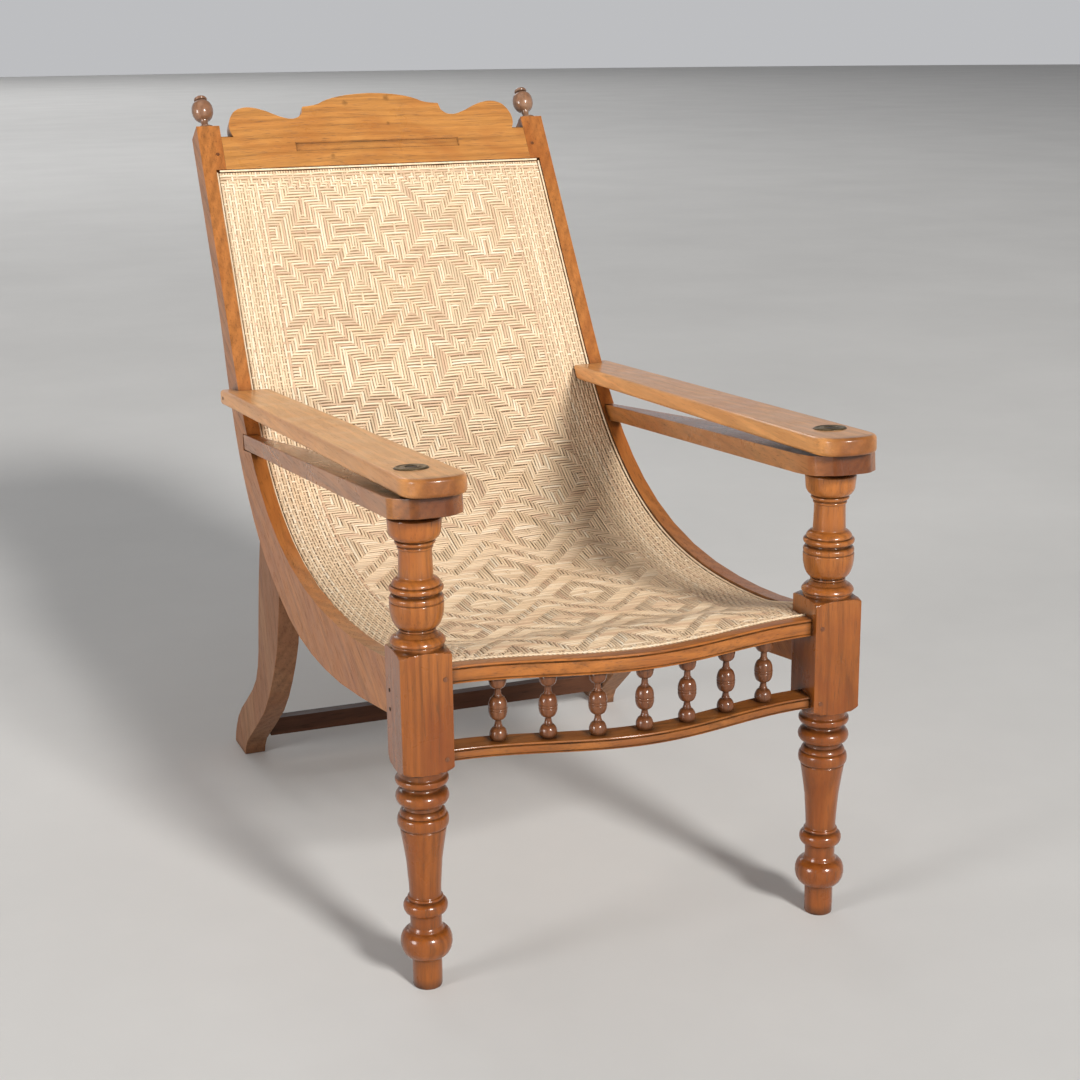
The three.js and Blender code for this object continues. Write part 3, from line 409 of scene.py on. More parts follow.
def eased_copy(node, ease, shortest=0.006, keep=None, segments=2, nose=None):
    """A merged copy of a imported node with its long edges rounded, and its upright edges at the nose more."""
    mesh = bmesh.new()
    mesh.from_mesh(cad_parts[node].data)
    bmesh.ops.remove_doubles(mesh, verts=mesh.verts, dist=MERGE)
    bmesh.ops.dissolve_limit(mesh, angle_limit=FLAT_ANGLE, verts=mesh.verts, edges=mesh.edges)
    if nose:
        reach, radius = nose
        corners = [edge for edge in mesh.edges if rise_of(edge) > radius
                   and max(vert.co.y for vert in edge.verts) < reach and edge.calc_face_angle(0) > NOSE_ANGLE]
        bevelled(mesh, corners, radius, 5, clamp_overlap=True)
    chosen = [edge for edge in mesh.edges
              if len(edge.link_faces) == 2 and edge.calc_length() >= shortest
              and edge.calc_face_angle() > EDGE_ANGLE and (keep is None or keep(middle_of(edge)))]
    return bevelled(mesh, chosen, ease, segments, clamp_overlap=True)


def without(mesh, *cutters):
    """Cuts closed shapes out of a closed shape and gives the rest as a new bmesh."""
    body = solid(mesh, "blank")
    tools = [solid(cutter, "cutter") for cutter in cutters]
    for tool in tools:
        modifier = body.modifiers.new("Cut", "BOOLEAN")
        modifier.operation = "DIFFERENCE"
        modifier.solver = "EXACT"
        modifier.object = tool
    data = mesh_of(body)
    result = bmesh.new()
    result.from_mesh(data)
    for used in [data, *[piece.data for piece in (body, *tools)]]:
        bpy.data.meshes.remove(used)
    return result


def mesh_of(piece):
    """The mesh of an object with its modifiers or its curve's bevel applied."""
    return bpy.data.meshes.new_from_object(piece.evaluated_get(bpy.context.evaluated_depsgraph_get()))


# The line of the side frames and of the cane
def leaned(y, z):
    """How far a side frame stands out at a place of its plane."""
    return LEAN["spread"] * y + LEAN["lean"] * (z - LEAN["height"])


def lean_matrix():
    """Leans a side piece that was drawn upright, and puts it in the chair's frame."""
    shear = Matrix.Identity(4)
    shear[0][1] = LEAN["spread"]
    shear[0][2] = LEAN["lean"]
    shear[0][3] = -LEAN["lean"] * LEAN["height"]
    return ORIGIN @ shear


def bezier(start, first, second, end, count):
    return [Vector(point) for point in interpolate_bezier(start, first, second, end, count)]


def up_the_back(sizes):
    """The direction of the straight back, in (y, z)."""
    return Vector((math.sin(sizes.rail.recline), math.cos(sizes.rail.recline)))


def rail_line(sizes):
    """The upper edge of the seat and the front edge of the back, as closely set (y, z) points."""
    up_back = up_the_back(sizes)
    bend = Vector((sizes.rail.bend_reach, sizes.rail.bend_height))
    low = Vector((sizes.rail.low_reach, sizes.rail.low_height))
    start = Vector((sizes.post.block_width / 2, sizes.rail.front_height))
    handle = sizes.rail.seat_handle
    fall = (start.y - low.y) / (low.x - start.x)
    leave = start + Vector((handle, -2 * fall * handle))
    seat = bezier(start, leave, low - Vector((handle, 0)), low, 60)
    climb = bend - up_back * sizes.rail.back_handle
    sling = bezier(low, low + Vector((sizes.rail.sag_handle, 0)), climb, bend, 160)
    top = bend + up_back * sizes.rail.back_length
    back = [bend.lerp(top, index / 60) for index in range(1, 61)]
    return seat + sling[1:] + back


def tangents(points):
    """The direction of a line at each of its points."""
    ends = [points[0], *points, points[-1]]
    return [(after - before).normalized() for before, after in zip(ends, ends[2:])]


def sunk(points, depth):
    """The same line moved into the rail by a depth."""
    return [point + Vector((run.y, -run.x)) * depth for point, run in zip(points, tangents(points))]


def lengths(points):
    """How far along a line each of its points lies."""
    total = [0.0]
    for before, after in zip(points, points[1:]):
        total.append(total[-1] + (after - before).length)
    return total


class Sling:
    """The middle surface of the cane, which takes a place across and along to a point in space."""

    def __init__(self, sizes):
        self.sizes = sizes
        depth = sizes.rail.rebate - CANE_LINE["rise"]
        line = rail_line(sizes)
        along = lengths(line)
        join = next(i for i, length in enumerate(along) if length > CANE_LINE["join"] * along[-1])
        rail = sunk(line, depth)[join:]
        handle = tangents(line)[join] * CANE_LINE["handle"]
        level = sizes.rail.front_height + CANE_LINE["lift"] - depth
        first = Vector((-BOW["forward"] - BOW["bulge"], level))
        rear = Vector((BOW["depth"] - BOW["forward"], level))
        ramp = bezier(rear, rear + Vector((CANE_LINE["handle"], 0)), rail[0] - handle, rail[0], 20)
        self.points = [first.lerp(rear, index / 12) for index in range(12)] + ramp[:-1] + rail
        self.runs = tangents(self.points)
        self.lengths = lengths(self.points)
        self.block = self.at_reach(sizes.post.block_width / 2)
        self.end = self.lengths[-1] - CREST_DROP - FIT - sizes.cane.binder
        self.inside = POST_MIDDLE.x - sizes.post.block_width / 2

    def at_reach(self, reach):
        """How far along the sling lies at a distance behind the posts."""
        index = next(i for i, point in enumerate(self.points) if point.x >= reach)
        before, after = self.points[index - 1], self.points[index]
        part = (reach - before.x) / (after.x - before.x)
        return self.lengths[index - 1] + part * (self.lengths[index] - self.lengths[index - 1])

    def place(self, along):
        """The point of the side line, and its direction, at a length."""
        low, high = 0, len(self.lengths) - 1
        while high - low > 1:
            middle = (low + high) // 2
            if self.lengths[middle] <= along:
                low = middle
            else:
                high = middle
        part = (along - self.lengths[low]) / (self.lengths[high] - self.lengths[low])
        point = self.points[low].lerp(self.points[high], part)
        return point, self.runs[low].lerp(self.runs[high], part).normalized()

    def half_width(self, along):
        """Half the width between the strips of the side rails."""
        point, _ = self.place(along)
        return self.sizes.rail.outer + leaned(point.x, point.y) - self.sizes.rail.strip - FIT

    def front_edge(self, across):
        """How far along the cane begins, behind the bowed strip of the front rail."""
        if abs(across) >= self.inside:
            return self.block + FIT
        swing = (1 + math.cos(math.pi * across / self.inside)) / 2
        return BOW["bulge"] * (1 - swing) + BOW["strip"] + FIT + self.sizes.cane.binder

    def space(self, across, along, height):
        """A point of the chair for a place on the flat weave. Across runs from -1 to 1."""
        point, run = self.place(along)
        share = min(max((along - self.block) / (self.end - self.block), 0), 1)
        inner = 1 - across * across
        sag = self.sizes.cane.sag * math.sin(math.pi * share) * inner
        wave = math.sin(along * 47 + across * 3) * math.cos(across * 11 + along * 9)
        wave += 0.6 * math.sin(across * 23 - along * 31)
        rise = height - sag + self.sizes.cane.slack * wave * inner
        return Vector((across * self.half_width(along), point.x - run.y * rise, point.y + run.x * rise))


# Finishes
class Finish:
    """The nodes of one finish or group. A node is given numbers, vectors, colours or sockets."""

    def __init__(self, tree):
        self.tree = tree

    def put(self, value, socket):
        if isinstance(value, bpy.types.NodeSocket):
            self.tree.links.new(value, socket)
        elif socket.type == "RGBA":
            socket.default_value = (*value[:3], 1)
        else:
            socket.default_value = value

    def node(self, kind, inputs, **choices):
        """Adds a shader node, sets it up, and fills its inputs by name or number."""
        new = self.tree.nodes.new(f"ShaderNode{kind}")
        for name, value in choices.items():
            setattr(new, name, value)
        for name, value in inputs.items():
            self.put(value, new.inputs[name])
        return new

    def group(self, name, **inputs):
        return self.node("Group", inputs, node_tree=bpy.data.node_groups[name]).outputs

    def place(self):
        return self.node("TexCoord", {}).outputs["Object"]

    def math(self, operation, *values, clamp=False):
        return self.node("Math", dict(enumerate(values)), operation=operation, use_clamp=clamp).outputs[0]

    def times(self, first, second, clamp=False):
        return self.math("MULTIPLY", first, second, clamp=clamp)

    def plus(self, first, second, clamp=False):
        return self.math("ADD", first, second, clamp=clamp)

    def vector_math(self, operation, first, second):
        return self.node("VectorMath", {0: first, 1: second}, operation=operation).outputs

    def stretched(self, vector, scale):
        return self.vector_math("MULTIPLY", vector, scale)[0]

    def mixed(self, factor, first, second, blend="MIX"):
        """Mixes two colours."""
        inputs = {0: factor, 6: first, 7: second}
        return self.node("Mix", inputs, data_type="RGBA", blend_type=blend).outputs[2]

    def ramp(self, factor, *stops):
        """A colour ramp from (position, grey or colour) stops."""
        new = self.node("ValToRGB", {0: factor})
        elements = new.color_ramp.elements
        while len(elements) < len(stops):
            elements.new(0.5)
        for element, (position, value) in zip(elements, stops):
            element.position = position
            element.color = (value, value, value, 1) if isinstance(value, (int, float)) else (*value, 1)
        return new.outputs[0]

    def noise(self, vector, scale, detail, roughness, distortion=0.0):
        inputs = {"Vector": vector, "Scale": scale, "Detail": detail, "Roughness": roughness,
                  "Distortion": distortion}
        return self.node("TexNoise", inputs).outputs["Fac"]

    def span(self, vector, axis, start, end):
        """Rises from 0 to 1 between two places on one axis."""
        parts = self.node("SeparateXYZ", {0: vector}).outputs
        return self.times(self.math("SUBTRACT", parts[axis], start), 1 / (end - start), clamp=True)

    def bump(self, height, strength, distance):
        return self.node("Bump", {"Strength": strength, "Distance": distance, "Height": height}).outputs[0]

    def arranged(self):
        """Sets the nodes out in columns, each to the left of what it feeds."""
        columns = {new.name: 0 for new in self.tree.nodes}
        for _ in columns:
            for link in self.tree.links:
                source, target = link.from_node.name, link.to_node.name
                columns[source] = max(columns[source], columns[target] + 1)
        filled = {}
        for name, column in columns.items():
            row = filled.get(column, 0)
            self.tree.nodes[name].location = (-250 * column, -320 * row)
            filled[column] = row + 1


def make_group(name, inputs, recipe):
    """A node group. An input without a default is a vector, and every output is one value."""
    tree = bpy.data.node_groups.new(name, "ShaderNodeTree")
    for label, default in inputs.items():
        kind = "NodeSocketVector" if default is None else "NodeSocketFloat"
        socket = tree.interface.new_socket(label, in_out="INPUT", socket_type=kind)
        if default is not None:
            socket.default_value = default
    finish = Finish(tree)
    values = recipe(finish, tree.nodes.new("NodeGroupInput").outputs)
    for label in values:
        tree.interface.new_socket(label, in_out="OUTPUT", socket_type="NodeSocketFloat")
    out = tree.nodes.new("NodeGroupOutput")
    for label, value in values.items():
        finish.put(value, out.inputs[label])
    finish.arranged()


def grain_lines(finish, given):
    """Growth rings, long fibres and open pores of teak, with the grain along the vector's x axis."""
    vector = given["Vector"]
    bend = finish.node("TexNoise", {"Vector": finish.stretched(vector, (0.4, 1, 1)), "Scale": 7, "Detail": 2})
    shift = finish.stretched(bend.outputs["Color"], (0, 0.03, 0.03))
    vector = finish.vector_math("ADD", vector, shift)[0]
    wave = finish.node("TexWave", {
        "Vector": finish.stretched(vector, (0.05, 1, 1)), "Scale": given["Rings"], "Distortion": 6.0,
        "Detail": 4.0, "Detail Scale": 1.6, "Detail Roughness": 0.65,
    }, wave_type="RINGS", rings_direction="X", wave_profile="SIN")
    streak = finish.noise(finish.stretched(vector, (0.035, 1, 1)), 190, 6, 0.66)
    fibre = finish.noise(finish.stretched(vector, (0.03, 1, 1)), 800, 3, 0.6)
    pore = finish.noise(finish.stretched(vector, (0.055, 1, 1)), 700, 2, 0.5)
    blotch = finish.noise(finish.stretched(vector, (0.4, 1, 1)), 11, 4, 0.6, 0.8)
    tone = finish.plus(finish.times(wave.outputs["Fac"], 0.16), finish.times(streak, 0.72))
    tone = finish.plus(tone, finish.times(fibre, 0.22))
    tone = finish.math("SUBTRACT", tone, 0.05, clamp=True)
    open_grain = finish.ramp(streak, (0.4, 1.0), (0.6, 0.3))
    pores = finish.times(finish.ramp(pore, (0.58, 0.0), (0.68, 1.0)), open_grain)
    height = finish.math("SUBTRACT", finish.times(fibre, 0.5), pores)
    return {"Tone": tone, "Pores": pores, "Blotch": blotch, "Height": height}


def knot_mask(finish, given):
    """A soft round mask about one place."""
    away = finish.vector_math("DISTANCE", given["Vector"], given["Place"])["Value"]
    rough = finish.noise(given["Vector"], 160, 3, 0.6)
    share = finish.plus(finish.math("DIVIDE", away, given["Radius"]), finish.times(rough, 0.8))
    return {"Knot": finish.ramp(share, (0.55, 1.0), (1.25, 0.0))}


def wear_masks(finish, given):
    """Worn edges, dirt and painted shade in the corners, from the shape itself, and smudges."""
    vector = given["Vector"]
    bevel = finish.node("Bevel", {"Radius": given["Edge"]}, samples=4).outputs[0]
    normal = finish.node("NewGeometry", {}).outputs["Normal"]
    turn = finish.vector_math("DOT_PRODUCT", bevel, normal)["Value"]
    rub = finish.ramp(finish.noise(vector, 60, 4, 0.6), (0.38, 0.1), (0.62, 1.0))
    # Painted shade: ambient occlusion darkens hollows, grooves and joins where shade falls; dust noise makes
    # part of it dirt
    hollow = finish.node("AmbientOcclusion", {"Distance": given["Depth"]}, samples=6).outputs["AO"]
    dust = finish.ramp(finish.noise(vector, 35, 5, 0.65), (0.3, 0.45), (0.65, 1.0))
    return {
        "Wear": finish.times(finish.ramp(turn, (0.86, 1.0), (0.99, 0.0)), rub, clamp=True),
        "Dirt and shade": finish.times(finish.ramp(hollow, (0.54, 1.0), (0.82, 0.5), (0.97, 0.0)), dust, clamp=True),
        "Smudge": finish.noise(vector, 14, 4, 0.6, 0.4),
    }


def settings():
    return bpy.context.scene.planters_chair


def shaded(colour, level):
    """A colour made lighter or darker, by one level or by one for each channel."""
    levels = level if isinstance(level, tuple) else (level,) * 3
    return tuple(min(channel * share, 1.0) for channel, share in zip(colour, levels))


def made(name, recipe, *values, **named):
    """A material by name, made from its recipe the first time that it is asked for."""
    material = bpy.data.materials.get(name)
    if material:
        return material
    material = bpy.data.materials.new(name)
    material.use_nodes = True
    material.node_tree.nodes.clear()
    finish = Finish(material.node_tree)
    shader = finish.node("BsdfPrincipled", recipe(finish, *values, **named))
    finish.node("OutputMaterial", {0: shader.outputs[0]})
    finish.arranged()
    return material


GRAIN = {
    "across": (0, 0, 0),
    "along": (0, 0, -math.pi / 2),
    "upright": (0, math.pi / 2, 0),
    "rail": (math.radians(-28.5), 0, -math.pi / 2),
    "leg": (math.radians(-68), 0, -math.pi / 2),
}
LOG_START = Vector((0, 0.21, 0.13))
LOG_STEP = Vector((0.37, 0.173, 0.119))


def wood(finish, colour, grain, gloss=0.34, coat=0.25, rings=22.0, grime=0.85, wear=0.3, deep=0.62, seed=0.0,
         crease=0.011, patch=0.6, knots=(), worn=1.6, dusk=None, varnish=0.14, pored=0.75):
    """Teak: its tone, how the grain lies, how glossy, patched and worn it is, and its dirt and painted shade
    in hollows; one end can be darkened, as painted shade at the foot of a post and as handling at the nose of
    a board.
    """
    plain = finish.place()
    log = {"Vector": plain, "Rotation": GRAIN[grain], "Location": LOG_START + LOG_STEP * seed}
    vector = finish.node("Mapping", log, vector_type="POINT").outputs[0]
    lines = finish.group("Teak grain", Vector=vector, Rings=rings)
    marks = finish.group("Wear and grime", Vector=plain, Depth=crease)
    base = finish.ramp(lines["Tone"], (0.3, shaded(colour, deep)), (0.45, shaded(colour, 0.88)),
                       (0.58, shaded(colour, 1.04)), (0.76, shaded(colour, 1.25)))
    blotch = finish.ramp(lines["Blotch"], (0.44, 0.0), (0.66, patch))
    base = finish.mixed(blotch, base, shaded(colour, (0.74, 0.55, 0.45)))
    # Painted shade towards the floor on the posts, and dark handling at the noses of the boards
    if dusk:
        axis, start, end, tint = dusk
        base = finish.mixed(finish.span(plain, axis, start, end), base, tint, "MULTIPLY")
    pores = finish.times(lines["Pores"], pored)
    base = finish.mixed(pores, base, shaded(colour, 0.32))
    for place, radius in knots:
        knot = finish.group("Knot", Vector=plain, Place=place, Radius=radius)["Knot"]
        base = finish.mixed(finish.times(knot, 0.62), base, shaded(colour, 0.3))
    base = finish.mixed(finish.times(marks["Wear"], wear), base, shaded(colour, worn))
    # Dirt and painted shade in hollows, grooves and joins
    base = finish.mixed(finish.times(marks["Dirt and shade"], grime), base, settings().colours.grime)
    shine = finish.plus(finish.times(marks["Smudge"], 0.34), gloss - 0.15)
    shine = finish.plus(shine, finish.times(pores, 0.3), clamp=True)
    return {"Base Color": base, "Roughness": shine, "Specular IOR Level": 0.24, "Coat Weight": coat,
            "Coat Roughness": varnish, "Normal": finish.bump(lines["Height"], 0.4, 0.0004)}


def metal(finish, colour, rough):
    """Old metal with worn high spots, tarnish and dirt in the corners."""
    plain = finish.place()
    marks = finish.group("Wear and grime", Vector=plain, Depth=0.006, Edge=0.0008)
    cloud = finish.noise(plain, 140, 5, 0.65, 0.5)
    base = finish.ramp(cloud, (0.4, shaded(colour, 0.5)), (0.7, shaded(colour, 1.3)))
    base = finish.mixed(marks["Wear"], base, shaded(colour, 2.4))
    base = finish.mixed(marks["Dirt and shade"], base, settings().colours.grime)
    shine = finish.plus(finish.times(cloud, 0.35), rough - 0.15)
    return {"Base Color": base, "Metallic": 0.85, "Roughness": shine,
            "Normal": finish.bump(cloud, 0.3, 0.0003)}


def split_cane(finish, fibre_run, shade_from=0.3, shade_to=0.6):
    """Split cane: each strand has its own tone, with fine fibres along it, painted shade along the edges of
    the strands, and dirt and painted shade in the hollows.
    """
    straw = settings().colours.straw
    plain = finish.place()
    run = finish.stretched(finish.node("UVMap", {}, uv_map="weave").outputs[0], fibre_run)
    strand = finish.node("Attribute", {}, attribute_name="strand").outputs["Fac"]
    rim = finish.node("Attribute", {}, attribute_name="rim").outputs["Fac"]
    marks = finish.group("Wear and grime", Vector=plain, Depth=0.0045)
    fibre = finish.noise(run, 1500, 3, 0.6)
    streak = finish.noise(run, 160, 3, 0.6)
    patch = finish.noise(plain, 9, 4, 0.6)
    tone = finish.plus(finish.times(fibre, 0.3), finish.times(streak, 0.6))
    tone = finish.plus(tone, finish.times(strand, 0.4))
    base = finish.ramp(tone, (0.36, shaded(straw, 0.74)), (0.55, shaded(straw, 0.96)),
                       (0.73, shaded(straw, 1.12)), (0.9, (0.91, 0.79, 0.6)))
    base = finish.mixed(finish.ramp(patch, (0.5, 0.0), (0.74, 0.3)), base, shaded(straw, (0.88, 0.74, 0.6)))
    base = finish.mixed(finish.ramp(strand, (0.06, 0.4), (0.16, 0.0)), base, (0.68, 0.4, 0.26))
    # Painted shade between the strands: each strand's rim is darkened, more so lower down on the seat
    low = finish.math("MULTIPLY_ADD", finish.span(plain, "Z", *SEAT_SHADE), 0.8, 1.0)
    edge = finish.times(finish.ramp(rim, (shade_from, 0.0), (0.95, shade_to)), low, clamp=True)
    base = finish.mixed(edge, base, (0.36, 0.21, 0.1))
    base = finish.mixed(finish.times(marks["Dirt and shade"], 0.4), base, (0.26, 0.15, 0.07))
    return {"Base Color": base, "Roughness": finish.plus(finish.times(streak, 0.3), 0.34),
            "Normal": finish.bump(fibre, 0.35, 0.0003)}


def weave_shade(finish):
    """Painted shade: a dark sheet inside the weave, seen between the strands, darker still on the seat."""
    plain = finish.place()
    cloud = finish.noise(plain, 160, 4, 0.6)
    base = finish.ramp(cloud, (0.35, (0.24, 0.145, 0.07)), (0.65, (0.5, 0.33, 0.18)))
    # Painted shade: the sheet turns darker down on the seat
    base = finish.mixed(finish.span(plain, "Z", *SEAT_SHADE), base, (0.075, 0.042, 0.018))
    return {"Base Color": base, "Roughness": finish.plus(finish.times(cloud, 0.3), 0.6),
            "Normal": finish.bump(cloud, 0.3, 0.0003)}


def pale_floor(finish, colour):
    plain = finish.place()
    scuff = finish.noise(plain, 14, 5, 0.6)
    tone = finish.plus(finish.times(finish.noise(plain, 1.3, 4, 0.55), 0.8), finish.times(scuff, 0.2))
    return {"Base Color": finish.ramp(tone, (0.3, shaded(colour, 0.95)), (0.7, shaded(colour, 1.04))),
            "Roughness": finish.plus(finish.times(scuff, 0.2), 0.62), "Specular IOR Level": 0.3}


def dark_wood(name, seed):
    return made(name, wood, settings().colours.dark, "upright", gloss=0.26, coat=0.5, rings=40, seed=seed,
                grime=0.8, wear=0.6)


def iron():
    return made("old_iron", metal, settings().colours.iron, 0.55)


def dress(names, material):
    """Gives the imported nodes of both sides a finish."""
    for side in SIDES:
        for name in names:
            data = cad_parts[f"{name}_{side}"].data
            data.materials.clear()
            data.materials.append(material)


# One operator for each piece or group of like pieces
class CHAIR_OT_front_posts(Operator):
    """Turn the two front posts, each with a square block between two turned lengths."""

    bl_idname = "planters_chair.front_posts"
    bl_label = "Front Posts"

    def execute(self, context):
        sizes = settings()
        for side, sign in SIDES.items():
            mesh = moved(self.shape(sizes), ORIGIN @ Matrix.Translation((POST_MIDDLE.x, 0, 0)))
            # Painted shade: the posts turn darker downwards, towards the floor
            teak = made(f"teak_post_{side}", wood, shaded(sizes.colours.teak, 1.2), "upright", gloss=0.28,
                        coat=0.6, rings=30, grime=0.95, seed=1.0 + sign * 0.4, varnish=0.1, deep=0.6,
                        crease=0.014, dusk=("Z", 0.56, 0.35, FOOT_SHADE))
            finished(sided(mesh, side), f"turned_post_{side}", teak, replaced=[f"front_post_{side}"],
                     flat=True)
        return {"FINISHED"}

    def shape(self, sizes):
        post = sizes.post
        half = post.block_width / 2
        ease = sizes.turnings.ease
        lower = eased(turning(LOWER_TURNING_SHARES, 0, post.block_bottom, post.turn_radius), ease)
        upper = turning(UPPER_TURNING_SHARES, post.block_top, post.top - post.block_top, post.turn_radius)
        swell = half * math.sqrt(2) + FIT - post.pommel_radius
        foot = [(post.pommel_radius + swell * out, post.block_bottom + post.pommel_height * up)
                for out, up in POMMEL_SHARES]
        head = [(post.pommel_radius + swell * out, post.block_top - post.pommel_height / 2 * up)
                for out, up in reversed(POMMEL_SHARES)]
        mesh = spun(lower + foot + head + eased(upper, ease))
        for vert in mesh.verts:
            widest = max(abs(vert.co.x), abs(vert.co.y))
            if post.block_bottom - MERGE < vert.co.z < post.block_top + MERGE and widest > half:
                vert.co.x *= half / widest
                vert.co.y *= half / widest
        low = post.block_bottom + post.pommel_height - MERGE
        high = post.block_top - post.pommel_height / 2 + MERGE
        corners = [edge for edge in mesh.edges
                   if all(low < vert.co.z < high and min(abs(vert.co.x), abs(vert.co.y)) > half - MERGE
                          for vert in edge.verts) and rise_of(edge) > MERGE]
        return bevelled(mesh, corners, post.corner, 2)


class CHAIR_OT_spindles(Operator):
    """Turn the spindles between the two front rails."""

    bl_idname = "planters_chair.spindles"
    bl_label = "Spindles"

    def execute(self, context):
        turnings = settings().turnings
        names = sorted(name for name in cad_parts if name.startswith("spindle_"))
        _, rail_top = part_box("front_lower_rail")
        seat_low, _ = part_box("front_seat_rail")
        points = turning(SPINDLE_TURNING_SHARES, rail_top.z, seat_low.z - rail_top.z, turnings.spindle_radius)
        for index, name in enumerate(names):
            low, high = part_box(name)
            middle = (low + high) / 2
            place = Matrix.Translation((middle.x, middle.y, 0))
            mesh = moved(spun(eased(points, turnings.ease / 2), 40), place)
            log = index % 3
            dark = dark_wood(f"dark_teak_{log}", 3.0 + log)
            finished(mesh, f"turned_{name}", dark, replaced=[name])
        return {"FINISHED"}


class CHAIR_OT_finials(Operator):
    """Turn the two finials on the tops of the side rails."""

    bl_idname = "planters_chair.finials"
    bl_label = "Finials"

    def execute(self, context):
        sizes = settings()
        turnings = sizes.turnings
        line = rail_line(sizes)
        top = line[-1]
        centre = sunk(line, FINIAL_SEAT["depth"])[-1]
        rail_middle = sizes.rail.outer + leaned(top.x, top.y) - FINIAL_SEAT["inset"]
        place = ORIGIN @ Matrix.Translation((rail_middle, centre.x, centre.y))
        place = place @ Matrix.Rotation(-sizes.rail.recline, 4, "X") @ Matrix.Translation((0, 0, FIT))
        points = turning(FINIAL_TURNING_SHARES, 0, turnings.finial_height, turnings.finial_radius)
        shiny = made("dark_teak_finial", wood, sizes.colours.finial, "upright", gloss=0.2, coat=0.8, rings=40,
                     seed=6.0, grime=0.95, varnish=0.08)
        for side in SIDES:
            mesh = sided(moved(spun(eased(points, turnings.ease), 48), place), side)
            finished(mesh, f"turned_finial_{side}", shiny, replaced=[f"finial_{side}"])
        return {"FINISHED"}


class CHAIR_OT_side_frames(Operator):
    """Shape the side rails, the rear legs and the stretcher between them."""

    bl_idname = "planters_chair.side_frames"
    bl_label = "Side Frames"

    def execute(self, context):
        colours = settings().colours
        for index, side in enumerate(SIDES):
            golden = made(f"teak_rail_{side}", wood, colours.rail, "rail", seed=8.0 + index)
            self.sawn(f"side_rail_{side}", f"sawn_rail_{side}", golden,
                      lambda middle: middle.y > POST_HIGH.y + FIT)
            grey = made(f"teak_leg_{side}", wood, colours.leg, "leg", gloss=0.5, coat=0.05, seed=10.0 + index,
                        grime=0.6, wear=0.5)
            self.sawn(f"rear_leg_{side}", f"sawn_leg_{side}", grey)
        # The stretcher takes the spindles' dark teak made darker still: painted shade, low under the back
        dull_and_shaded = made("dark_teak_stretcher", wood, shaded(colours.dark, 0.5), "across", gloss=0.5, coat=0.05,
                    seed=12.0)
        self.sawn("rear_stretcher", "planed_stretcher", dull_and_shaded)
        return {"FINISHED"}

    def sawn(self, node, name, material, keep=None):
        mesh = eased_copy(node, settings().boards.ease, keep=keep)
        finished(mesh, name, material, replaced=[node], flat=True)


class CHAIR_OT_crest(Operator):
    """Shape the crest rail with its ears and arch."""

    bl_idname = "planters_chair.crest"
    bl_label = "Crest Rail"

    def execute(self, context):
        sizes = settings()
        chamfer = PANEL["chamfer"]
        mesh = eased_copy("crest_rail", sizes.boards.ease, 0.0032,
                          lambda middle: not self.on_panel(sizes, middle))
        rims = [edge for edge in mesh.edges
                if edge.calc_length() > chamfer * 2 and self.on_panel(sizes, middle_of(edge), chamfer / 4)]
        bevelled(mesh, rims, chamfer, 1)
        golden = made("teak_crest", wood, sizes.colours.crest, "across", seed=14.0, gloss=0.3, grime=0.9,
                      knots=CREST_KNOTS)
        finished(mesh, "carved_crest", golden, replaced=["crest_rail"], crease=30, flat=True)
        return {"FINISHED"}

    def on_panel(self, sizes, point, nearness=None):
        """Whether a point lies on the sunk panel of the crest, or only on the rim round it."""
        up = up_the_back(sizes)
        local = Vector((point.y - POST_MIDDLE.y, point.z)) - (rail_line(sizes)[-1] - up * PANEL["drop"])
        level, height = local.dot(Vector((-up.y, up.x))), local.dot(up)
        inside = (abs(point.x) < PANEL["half_width"] + FIT
                  and -PANEL["bottom"] - FIT < height < -PANEL["top"] + FIT)
        return inside and (nearness is None or abs(level) < nearness)


class CHAIR_OT_front_rails(Operator):
    """Shape the two bowed rails between the front posts."""

    bl_idname = "planters_chair.front_rails"
    bl_label = "Front Rails"

    def execute(self, context):
        sizes = settings()
        sections = {"front_seat_rail": SEAT_RAIL_SECTION, "front_lower_rail": LOWER_RAIL_SECTION}
        for index, (name, section) in enumerate(sections.items()):
            _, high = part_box(name)
            # The lower rail takes the seat rail's teak made darker: painted shade under the seat
            teak = made(f"teak_{name}", wood, shaded(sizes.colours.teak, 1.12 - 0.3 * index), "across",
                        seed=16.0 + index, grime=0.95, coat=0.45, deep=0.52)
            finished(self.bowed(sizes, section, high.z), f"bowed_{name}", teak, replaced=[name],
                     crease=32, flat=True)
        return {"FINISHED"}

    def bowed(self, sizes, section, top, steps=48):
        """Draws a moulded section along the bow between the posts."""
        reach = POST_MIDDLE.x - sizes.post.block_width / 2
        mesh = bmesh.new()
        rings = []
        for step in range(2 * steps + 1):
            across = (reach - FIT) * (step / steps - 1)
            front = -BOW["forward"] - BOW["bulge"] * (1 + math.cos(math.pi * across / reach)) / 2
            rings.append([mesh.verts.new(ORIGIN @ Vector((across, front + back, top - drop)))
                          for back, drop in section])
        for first, second in zip(rings, rings[1:]):
            for index in range(len(section)):
                after = (index + 1) % len(section)
                mesh.faces.new((first[index], second[index], second[after], first[after]))
        mesh.faces.new(rings[0])
        mesh.faces.new(reversed(rings[-1]))
        return outward(mesh)


